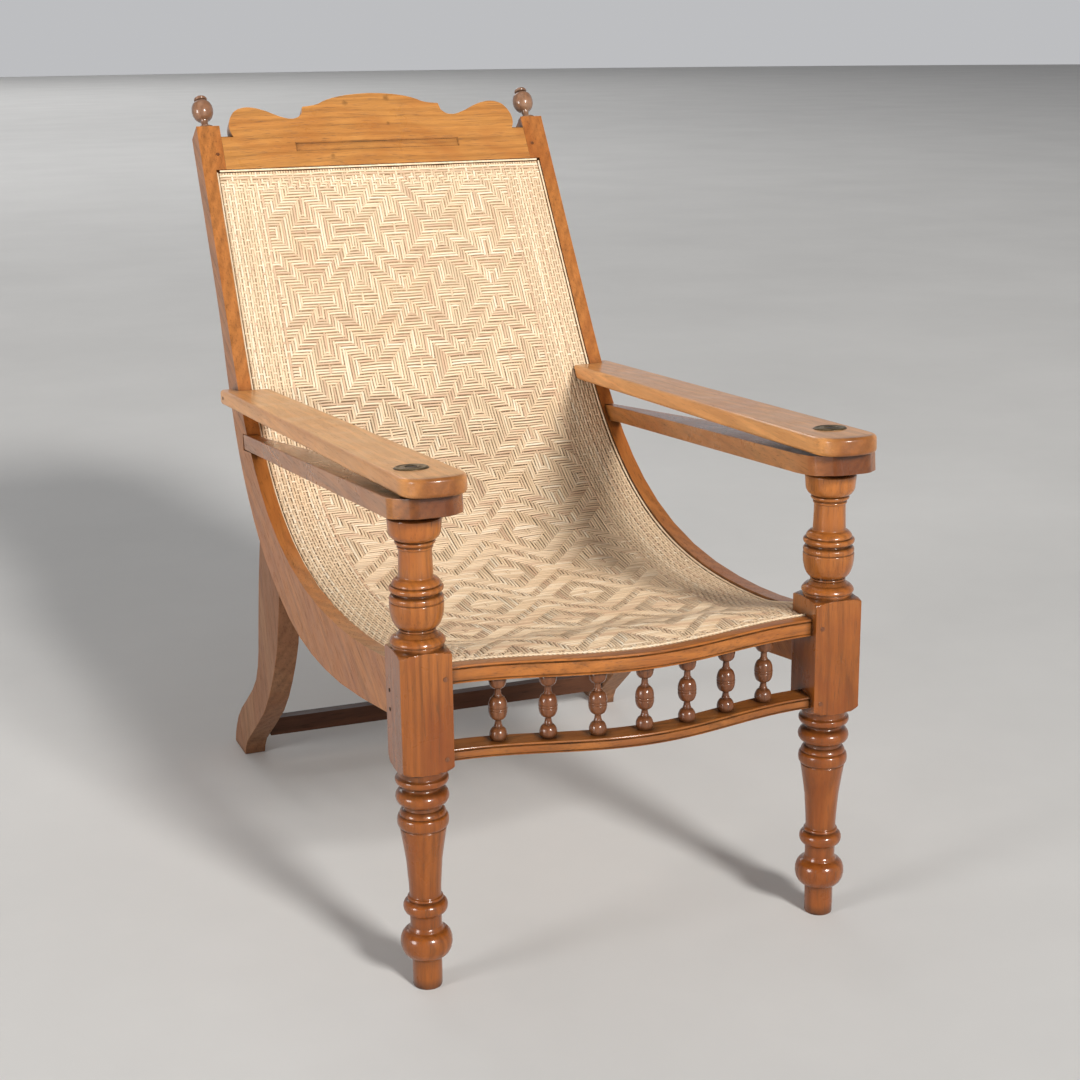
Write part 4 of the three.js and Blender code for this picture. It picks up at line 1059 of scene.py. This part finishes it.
def board_heights(sizes):
    """Heights at the pivot of the leg rest's underside, the arm's underside and the arm's top."""
    boards = sizes.boards
    rest_under = sizes.post.top + sizes.post.rim * REST_SLOPE + RUNNING_GAP
    rest_top = rest_under + boards.rest_thickness / math.cos(math.atan(REST_SLOPE))
    arm_under = rest_top + boards.arm_front * (REST_SLOPE - ARM_SLOPE) + RUNNING_GAP
    return rest_under, arm_under, arm_under + boards.arm_thickness / math.cos(math.atan(ARM_SLOPE))


def arm_matrix(sizes, shift=0.0):
    """Places what is drawn flat at the pivot on the slope of an arm, moved back along it by a shift."""
    _, arm_under, _ = board_heights(sizes)
    place = ORIGIN @ Matrix.Translation((POST_MIDDLE.x, 0, arm_under))
    return place @ Matrix.Rotation(-math.atan(ARM_SLOPE), 4, "X") @ Matrix.Translation((0, shift, 0))


def plate_matrix(sizes):
    """The bolt is square to the leg rest, so it comes out of the arm a little behind the post's middle."""
    rest_under, _, arm_top = board_heights(sizes)
    return arm_matrix(sizes, (arm_top - rest_under) * REST_SLOPE - sizes.boards.arm_thickness * ARM_SLOPE)


def handled_nose(name, reach):
    """The front end of a board is dark from handling."""
    low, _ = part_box(name)
    return "Y", low.y + reach, low.y + 0.002, NOSE_TINT


def rounded_corner(before, corner, after, count=14):
    """A quadratic curve round a corner, as points."""
    before, corner, after = Vector(before), Vector(corner), Vector(after)
    return [before.lerp(corner, step / count).lerp(corner.lerp(after, step / count), step / count)
            for step in range(count + 1)]


class CHAIR_OT_arms(Operator):
    """Shape the two arms, with round noses and a notch round each side rail."""

    bl_idname = "planters_chair.arms"
    bl_label = "Arms"

    def execute(self, context):
        sizes = settings()
        for index, side in enumerate(SIDES):
            teak = made(f"teak_arm_{side}", wood, sizes.colours.arm, "along", gloss=0.33, coat=0.4, wear=0.8,
                        seed=20.0 + index, worn=0.42, deep=0.82, patch=0.35, pored=0.35,
                        dusk=handled_nose(f"arm_{side}", 0.02))
            finished(sided(self.shape(sizes), side), f"shaped_arm_{side}", teak,
                     replaced=[f"arm_{side}"], crease=45, flat=True)
        return {"FINISHED"}

    def outline(self, boards):
        front, nose, corner = boards.arm_front, boards.nose_radius, boards.rear_corner
        rear = boards.arm_rear / math.cos(math.atan(ARM_SLOPE))
        outer, inner, far_outer = boards.front_outer, boards.front_inner, boards.rear_outer
        points = rounded_corner((outer - nose, -front), (outer, -front), (outer, nose - front))
        points += rounded_corner((far_outer, rear - corner), (far_outer, rear), (far_outer - corner, rear), 5)
        points.append(Vector((-boards.rear_inner, rear)))
        return points + rounded_corner((-inner, nose - front), (-inner, -front), (nose - inner, -front))

    def shape(self, sizes):
        boards = sizes.boards
        outline = [(point.x, point.y, 0) for point in self.outline(boards)]
        mesh = drawn_out(outline, (0, 0, boards.arm_thickness))
        bevelled(mesh, [edge for edge in mesh.edges if rise_of(edge) < MERGE], boards.edge, 5)
        return without(moved(mesh, arm_matrix(sizes)), self.notch(sizes), self.seat(sizes))

    def notch(self, sizes):
        """Everything behind the rail's front face and inside its outer face."""
        front = sunk(rail_line(sizes), -FIT)
        far, top = sizes.rail.low_reach, front[-1]
        outline = [*reversed(front), (far, 0), (top.x + far, 0), (top.x + far, top.y)]
        mesh = drawn_out([(0, y, z) for y, z in outline], (sizes.rail.outer + FIT, 0, 0))
        return moved(mesh, lean_matrix())

    def seat(self, sizes):
        """The round recess of the pivot plate, with the hole of the bolt below it."""
        rise = sizes.boards.arm_thickness
        floor = rise - PLATE_SEAT["depth"]
        hole, wide = PLATE_SEAT["hole"], PLATE_SEAT["radius"]
        mesh = spun([(hole, -PLATE_SEAT["below"]), (hole, floor), (wide, floor), (wide, 2 * rise)], 48)
        return moved(mesh, plate_matrix(sizes))


class CHAIR_OT_leg_rests(Operator):
    """Shape the two leg rests that swing out from under the arms."""

    bl_idname = "planters_chair.leg_rests"
    bl_label = "Leg Rests"

    def execute(self, context):
        sizes = settings()
        for index, side in enumerate(SIDES):
            name = f"leg_rest_{side}"
            low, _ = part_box(name)
            mesh = eased_copy(name, sizes.boards.ease * 1.6, 0.001, segments=3,
                              nose=(low.y + REST_NOSE["reach"], REST_NOSE["radius"]))
            teak = made(f"teak_rest_{side}", wood, sizes.colours.rest, "along", gloss=0.28, coat=0.5,
                        seed=24.0 + index, grime=0.9, wear=0.7, worn=0.5, rings=30,
                        dusk=handled_nose(name, 0.03))
            finished(mesh, f"shaped_{name}", teak, body=name, replaced=[name], crease=52,
                     flat=True)
        return {"FINISHED"}


class CHAIR_OT_pivots(Operator):
    """Turn the raised brass plates, and finish the bolts and washers under them."""

    bl_idname = "planters_chair.pivots"
    bl_label = "Pivots"

    def execute(self, context):
        sizes = settings()
        brass = made("old_brass", metal, sizes.colours.brass, 0.42)
        rise = sizes.boards.arm_thickness - PLATE_SEAT["depth"] + FIT
        for side in SIDES:
            mesh = spun([(reach, rise + level) for reach, level in PLATE_PROFILE], ring=True)
            finished(sided(moved(mesh, plate_matrix(sizes)), side), f"spun_plate_{side}", brass,
                     replaced=[f"pivot_plate_{side}"], crease=50)
        dress(("pivot_bolt", "lower_washer", "upper_washer"), iron())
        return {"FINISHED"}


class CHAIR_OT_pegs(Operator):
    """Finish the wooden pegs and the iron nails."""

    bl_idname = "planters_chair.pegs"
    bl_label = "Pegs and Nails"

    def execute(self, context):
        dress(("crest_peg", "front_peg_upper", "front_peg_lower"), dark_wood("dark_teak_peg", 30.0))
        dress(("arm_nail", "block_nail_upper", "block_nail_lower"), iron())
        return {"FINISHED"}


def weft_is_up(cane, warp, weft, border, from_top, from_front):
    """Whether the crosswise strand lies on top at a crossing: a diamond twill inside plain borders."""
    if from_top < BORDER_ROWS["rim"]:
        return (warp + 2 * from_top) % 7 != 0
    if from_front < BORDER_ROWS["rim"]:
        return (warp + 3 * from_front) % 5 != 0
    if from_top < BORDER_ROWS["top"] or from_front < BORDER_ROWS["front"]:
        return (weft + abs(warp)) % 4 < 2
    if abs(warp) >= border:
        return (weft + abs(warp) * 2) % 5 == 0
    wide, high = cane.diamond_warps, cane.diamond_wefts
    nearest = min(abs(warp - wide * across / 2) + max(abs(weft - high * up / 2) - cane.eye, 0)
                  for across in range(-8, 9) for up in range(-12, 6) if (across + up) % 2 == 0)
    band = int(nearest)
    return 0 < band < cane.band or 2 * cane.band <= band < 3 * cane.band


def float_points(states, ease=0.22):
    """Turns the ups and downs of one strand into (place, height) pairs, three for each float."""
    points = []
    start = 0
    for index in range(1, len(states) + 1):
        if index < len(states) and states[index] == states[start]:
            continue
        height = 1.0 if states[start] else -1.0
        last = index - 1
        points.append((start, height))
        if last > start + 1:
            points.append(((start + last) / 2, height * (1 + ease)))
        if last > start:
            points.append((last, height))
        start = index
    return points


def curved(name, lines, **shape):
    """A curve through lines of (x, y, z, radius) points."""
    data = bpy.data.curves.new(name, "CURVE")
    for setting, value in shape.items():
        setattr(data, setting, value)
    for line in lines:
        spline = data.splines.new("POLY")
        spline.points.add(len(line) - 1)
        for point, (x, y, z, radius) in zip(spline.points, line):
            point.co = (x, y, z, 1)
            point.radius = radius
    return added(name, data)


def strand_mesh(curve, flat, section=None, **marks):
    """Takes a strand's curve as a bmesh, with its marks as attributes and its flat places as a UV map."""
    data = mesh_of(curve)
    for used in [curve] + [section] * bool(section):
        bpy.data.curves.remove(used.data)
    count = len(data.vertices)
    for name, values in marks.items():
        if count % len(values):
            raise RuntimeError(f"{name} has {len(values)} values for {count} points")
        numbers = values * (count // len(values))
        data.attributes.new(name, "FLOAT", "POINT").data.foreach_set("value", numbers)
    while data.uv_layers:
        data.uv_layers.remove(data.uv_layers[0])
    layer = data.uv_layers.new(name="weave")
    for loop, spot in zip(data.loops, layer.data):
        spot.uv = flat(data.vertices[loop.vertex_index].co)
    mesh = bmesh.new()
    mesh.from_mesh(data)
    bpy.data.meshes.remove(data)
    return mesh


class CHAIR_OT_cane(Operator):
    """Weave the sling of the seat and back from single strands."""

    bl_idname = "planters_chair.cane"
    bl_label = "Woven Cane"

    def execute(self, context):
        sizes = settings()
        sling = Sling(sizes)
        cane = sizes.cane
        widest = max(sling.half_width(length) for length in (sling.block, sling.end, sling.end * 0.75))
        reach = sizes.rail.outer - sizes.rail.strip - cane.binder - FIT
        warps = int((reach - cane.warp_pitch / 2) / cane.warp_pitch)
        origin = sling.block + cane.first_diamond
        first = int(math.ceil((sling.front_edge(0) - origin) / cane.weft_pitch))
        last = int((sling.end - cane.weft_pitch / 2 - origin) / cane.weft_pitch)
        columns, rows = range(-warps, warps + 1), range(first, last + 1)
        up = self.weave(sling, columns, rows, origin)
        draw = random.Random(11)
        warp = self.warp(draw, sling, up, columns, rows, origin)
        weft = self.weft(draw, sling, up, columns, rows, origin)
        warp = self.strands(sling, "cane_warp", warp, cane.warp_pitch)
        weft = self.strands(sling, "cane_weft", weft, cane.weft_pitch)
        shade_sheet = self.shade_sheet(sling)
        return {"FINISHED"}

    def weave(self, sling, columns, rows, origin):
        """Which strand lies on top at each crossing."""
        cane = sling.sizes.cane
        border = int(cane.border / cane.warp_pitch)
        up = {}
        for i in columns:
            begin = (sling.front_edge(i * cane.warp_pitch) - origin) / cane.weft_pitch
            for j in rows:
                up[i, j] = weft_is_up(cane, i, j, border, rows[-1] - j, int(j - begin))
        return up

    def floats(self, draw, name, states, start, pitch, thickness):
        """A strand's width, and its (run, side, rise, width) at each of its floats."""
        sweep, waves, shake = STRANDS[name]["wander"]
        phase = draw.uniform(*FULL_WAVE)
        width = draw.uniform(*STRANDS[name]["widths"])
        points = []
        for place, height in float_points(states):
            run = start + place * pitch
            side = sweep * math.sin(run * waves + phase) + draw.uniform(-shake, shake)
            rise = height * thickness * STRAND_RISE_SHARE
            points.append((run, side, rise, width * draw.uniform(*STRAND_WIDTHS)))
        return width, points

    def warp(self, draw, sling, up, columns, rows, origin):
        """The lengthwise strands, each a line and a tone."""
        cane = sling.sizes.cane
        strands = []
        for i in columns:
            across = i * cane.warp_pitch
            start = sling.front_edge(across)
            crossed = [j for j in rows if origin + j * cane.weft_pitch > start + cane.weft_pitch / 3]
            width, points = self.floats(draw, "cane_warp", [not up[i, j] for j in crossed],
                                        origin + crossed[0] * cane.weft_pitch, cane.weft_pitch,
                                        cane.thickness)
            line = [(across + side, run, rise, radius) for run, side, rise, radius in points]
            line = [(across, start, 0.0, 1.0), *line, (across, sling.end, 0.0, width)]
            strands.append((line, draw.random()))
        return strands

    def weft(self, draw, sling, up, columns, rows, origin):
        """The crosswise strands, each a line and a tone."""
        cane = sling.sizes.cane
        strands = []
        for j in rows:
            along = origin + j * cane.weft_pitch
            crossed = [i for i in columns if along > sling.front_edge(i * cane.warp_pitch) + FIT]
            if len(crossed) < cane.band:
                continue
            width, points = self.floats(draw, "cane_weft", [up[i, j] for i in crossed],
                                        crossed[0] * cane.warp_pitch, cane.warp_pitch, cane.thickness)
            edge = (crossed[-1] + 0.5) * cane.warp_pitch
            line = [(run, along + side, rise, radius) for run, side, rise, radius in points]
            line = [(-edge, along, 0.0, width), *line, (edge, along, 0.0, width)]
            strands.append((line, draw.random()))
        return strands

    def strands(self, sling, name, strands, pitch):
        """Draws one set of strands on the flat, and bends it onto the sling."""
        sizes = sling.sizes
        lay = STRANDS[name]
        width, thickness = pitch * lay["share"], sizes.cane.thickness * lay["roundness"]
        sides = len(STRAND_SECTION_SHARES)
        section = curved("strand_section", [[(across * width, up * thickness, 0, 1)
                                             for across, up, _ in STRAND_SECTION_SHARES]], dimensions="2D")
        section.data.splines[0].use_cyclic_u = True
        curve = curved("strands", [line for line, _ in strands], dimensions="3D", twist_mode="Z_UP",
                       bevel_mode="OBJECT", bevel_object=section)
        tones = [tone for line, tone in strands for _ in range(len(line) * sides)]
        mesh = strand_mesh(curve, lambda place: (place.x, place.y), section, strand=tones,
                           rim=[rim for _, _, rim in STRAND_SECTION_SHARES])
        if len(mesh.verts) != len(tones):
            raise RuntimeError(f"{name} has {len(mesh.verts)} points instead of {len(tones)}")
        flat_half = sizes.rail.outer - sizes.rail.strip
        for vert in mesh.verts:
            vert.co = ORIGIN @ sling.space(vert.co.x / flat_half, vert.co.y, vert.co.z)
        bmesh.ops.holes_fill(mesh, edges=[edge for edge in mesh.edges if edge.is_boundary], sides=sides)
        material = made(name, split_cane, lay["fibre"], *lay["edge_shade"])
        return finished(outward(mesh), name, material, crease=60)

    def shade_sheet(self, sling):
        """A sheet of painted shade in the middle of the weave, on which the strands of both directions lie."""
        mesh = bmesh.new()
        inside, steps = sling.inside, SHADE_SHEET["along"]
        reach = sling.half_width(sling.block) - sling.sizes.cane.binder
        columns = [inside * step / SHADE_SHEET["across"] for step in range(SHADE_SHEET["across"])]
        columns += [inside - FIT, inside + FIT, (inside + reach) / 2, reach]
        columns = [-value for value in reversed(columns[1:])] + columns
        rows = []
        for across in columns:
            start = sling.front_edge(across)
            share = across / reach * SHADE_SHEET["width_share"]
            places = [start + (sling.end - start) * step / steps for step in range(steps + 1)]
            rows.append([mesh.verts.new(ORIGIN @ sling.space(share, along, 0)) for along in places])
        for first, second in zip(rows, rows[1:]):
            for step in range(steps):
                mesh.faces.new((first[step], second[step], second[step + 1], first[step + 1]))
        outward(mesh)
        bmesh.ops.solidify(mesh, geom=mesh.faces[:], thickness=SHADE_SHEET["thickness"])
        layer = mesh.loops.layers.uv.new("weave")
        for face in mesh.faces:
            for loop in face.loops:
                loop[layer].uv = (loop.vert.co.x, loop.vert.co.y)
        shade = made("cane_shade_sheet", weave_shade)
        return finished(mesh, "cane_shade_sheet", shade, replaced=["cane_seat"], crease=60)


class CHAIR_OT_binders(Operator):
    """Lay the binder strand along each edge of the cane."""

    bl_idname = "planters_chair.binders"
    bl_label = "Binder Strands"

    def execute(self, context):
        sizes = settings()
        sling = Sling(sizes)
        for side, sign in SIDES.items():
            self.strand(f"binder_{side}", [self.side_line(sling, sign)], f"cane_edge_{side}")
        low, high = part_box("cane_edge_top")
        middle, wide, steps = (low + high) / 2, high.x - low.x, BINDER["top_steps"]
        top = [middle + Vector(((index / steps - 0.5) * wide, 0, 0)) for index in range(steps + 1)]
        self.strand("binder_top", [top], "cane_edge_top")
        pair = [self.front_line(sling, phase) for phase in (0, math.pi)]
        self.strand("binder_front", pair, "cane_edge_front", BINDER["ply_share"])
        return {"FINISHED"}

    def side_line(self, sling, sign):
        """The strand along the rebate of a side rail."""
        binder = sling.sizes.cane.binder
        line = []
        for index in range(BINDER["steps"] + 1):
            along = sling.block + FIT + (sling.end - sling.block) * index / BINDER["steps"]
            half = sling.half_width(along)
            share = sign * (half - binder / 2) / half
            line.append(ORIGIN @ sling.space(share, along, binder * BINDER["rise_share"]))
        return line

    def front_line(self, sling, phase):
        """One of the two strands that are twisted along the bowed front."""
        binder = sling.sizes.cane.binder
        _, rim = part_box("cane_edge_front")
        line = []
        for index in range(2 * BINDER["front_steps"] + 1):
            across = (index / BINDER["front_steps"] - 1) * (sling.inside - FIT)
            begin = sling.front_edge(across * 0.99999) - BOW["forward"] - BOW["bulge"] - binder / 2
            turn = across / binder * BINDER["twist"] + phase
            line.append(ORIGIN @ Vector((across, begin + math.cos(turn) * binder / 5,
                                         rim.z - binder / 2 + math.sin(turn) * binder / 5)))
        return line

    def strand(self, name, lines, replaced, share=1.0):
        draw = random.Random(5)
        lines = [[(*point, draw.uniform(*BINDER_WIDTHS)) for point in line] for line in lines]
        curve = curved("binder", lines, dimensions="3D", bevel_depth=settings().cane.binder / 2 * share,
                       bevel_resolution=2, use_fill_caps=True)
        mesh = strand_mesh(curve, lambda place: (place.x, place.y + place.z), strand=[BINDER_TONE])
        straw = made("cane_binder", split_cane, (1, 0.1, 1))
        finished(outward(mesh), name, straw, replaced=[replaced], crease=70)


class CHAIR_OT_stage(Operator):
    """Lay the pale floor, hang the soft lights and stand the camera."""

    bl_idname = "planters_chair.stage"
    bl_label = "Stage"

    def execute(self, context):
        mesh = bmesh.new()
        bmesh.ops.create_circle(mesh, cap_ends=True, segments=96, radius=FLOOR_RADIUS)
        floor = solid(mesh, "studio_floor")
        floor.data.materials.append(made("studio_floor", pale_floor, settings().colours.floor))
        for name, (place, target, size, power, colour) in LIGHTS.items():
            data = bpy.data.lights.new(name, "AREA")
            data.shape = "DISK"
            data.size = size
            data.energy = power
            data.color = colour
            lamp = added(name, data)
            lamp.location = place
            lamp.rotation_euler = (Vector(target) - Vector(place)).to_track_quat("-Z", "Y").to_euler()
        context.scene.world = self.walls()
        context.scene.view_settings.view_transform = "Standard"
        self.camera(context)
        return {"FINISHED"}

    def walls(self):
        """Pale walls all round, under a dark ceiling."""
        world = bpy.data.worlds.new("studio")
        world.use_nodes = True
        finish = Finish(world.node_tree)
        around = finish.node("TexCoord", {}).outputs["Generated"]
        height = finish.node("SeparateXYZ", {0: around}).outputs["Z"]
        light = finish.ramp(height, (0.1, (0.51, 0.515, 0.53)), (0.35, (0.33, 0.335, 0.35)),
                            (0.7, (0.14, 0.14, 0.145)))
        finish.put(light, world.node_tree.nodes["Background"].inputs["Color"])
        finish.arranged()
        return world

    def camera(self, context):
        """The photograph's viewpoint: to the left of the chair's front, and above it."""
        place, target = Vector(VIEW["place"]), Vector(VIEW["target"])
        data = bpy.data.cameras.new("view")
        data.lens = VIEW["lens"]
        data.sensor_width = VIEW["sensor"]
        camera = added("view", data)
        turn = (target - place).to_track_quat("-Z", "Y").to_matrix()
        camera.location = place
        camera.rotation_euler = (turn @ Matrix.Rotation(math.radians(VIEW["roll"]), 3, "Z")).to_euler()
        context.scene.camera = camera


OPERATORS = (
    CHAIR_OT_stage,
    CHAIR_OT_front_posts,
    CHAIR_OT_spindles,
    CHAIR_OT_finials,
    CHAIR_OT_side_frames,
    CHAIR_OT_crest,
    CHAIR_OT_front_rails,
    CHAIR_OT_arms,
    CHAIR_OT_leg_rests,
    CHAIR_OT_pivots,
    CHAIR_OT_pegs,
    CHAIR_OT_cane,
    CHAIR_OT_binders,
)


class CHAIR_PT_panel(Panel):
    """Lists the steps that dress the chair."""

    bl_idname = "CHAIR_PT_panel"
    bl_label = "Planters Chair"
    bl_space_type = "VIEW_3D"
    bl_region_type = "UI"
    bl_category = "Chair"

    def draw(self, context):
        for operator in OPERATORS:
            self.layout.operator(operator.bl_idname)


class ChairSizes(PropertyGroup):
    """All the settings of the chair."""

    post: PointerProperty(type=PostSizes)
    turnings: PointerProperty(type=TurningSizes)
    rail: PointerProperty(type=RailSizes)
    boards: PointerProperty(type=BoardSizes)
    cane: PointerProperty(type=CaneSizes)
    colours: PointerProperty(type=WoodColours)


CLASSES = (PostSizes, TurningSizes, RailSizes, BoardSizes, CaneSizes, WoodColours, ChairSizes, *OPERATORS,
           CHAIR_PT_panel)


def register():
    for item in CLASSES:
        bpy.utils.register_class(item)
    bpy.types.Scene.planters_chair = PointerProperty(type=ChairSizes)
    make_group("Teak grain", {"Vector": None, "Rings": 26.0}, grain_lines)
    make_group("Knot", {"Vector": None, "Place": None, "Radius": 0.01}, knot_mask)
    make_group("Wear and grime", {"Vector": None, "Edge": 0.0015, "Depth": 0.01}, wear_masks)


def unregister():
    del bpy.types.Scene.planters_chair
    for item in reversed(CLASSES):
        bpy.utils.unregister_class(item)


def main():
    register()
    for operator in OPERATORS:
        name = operator.bl_idname.split(".")[1]
        if getattr(bpy.ops.planters_chair, name)() != {"FINISHED"}:
            raise RuntimeError(f"{operator.bl_label} could not be made")


if __name__ == "__main__":
    main()
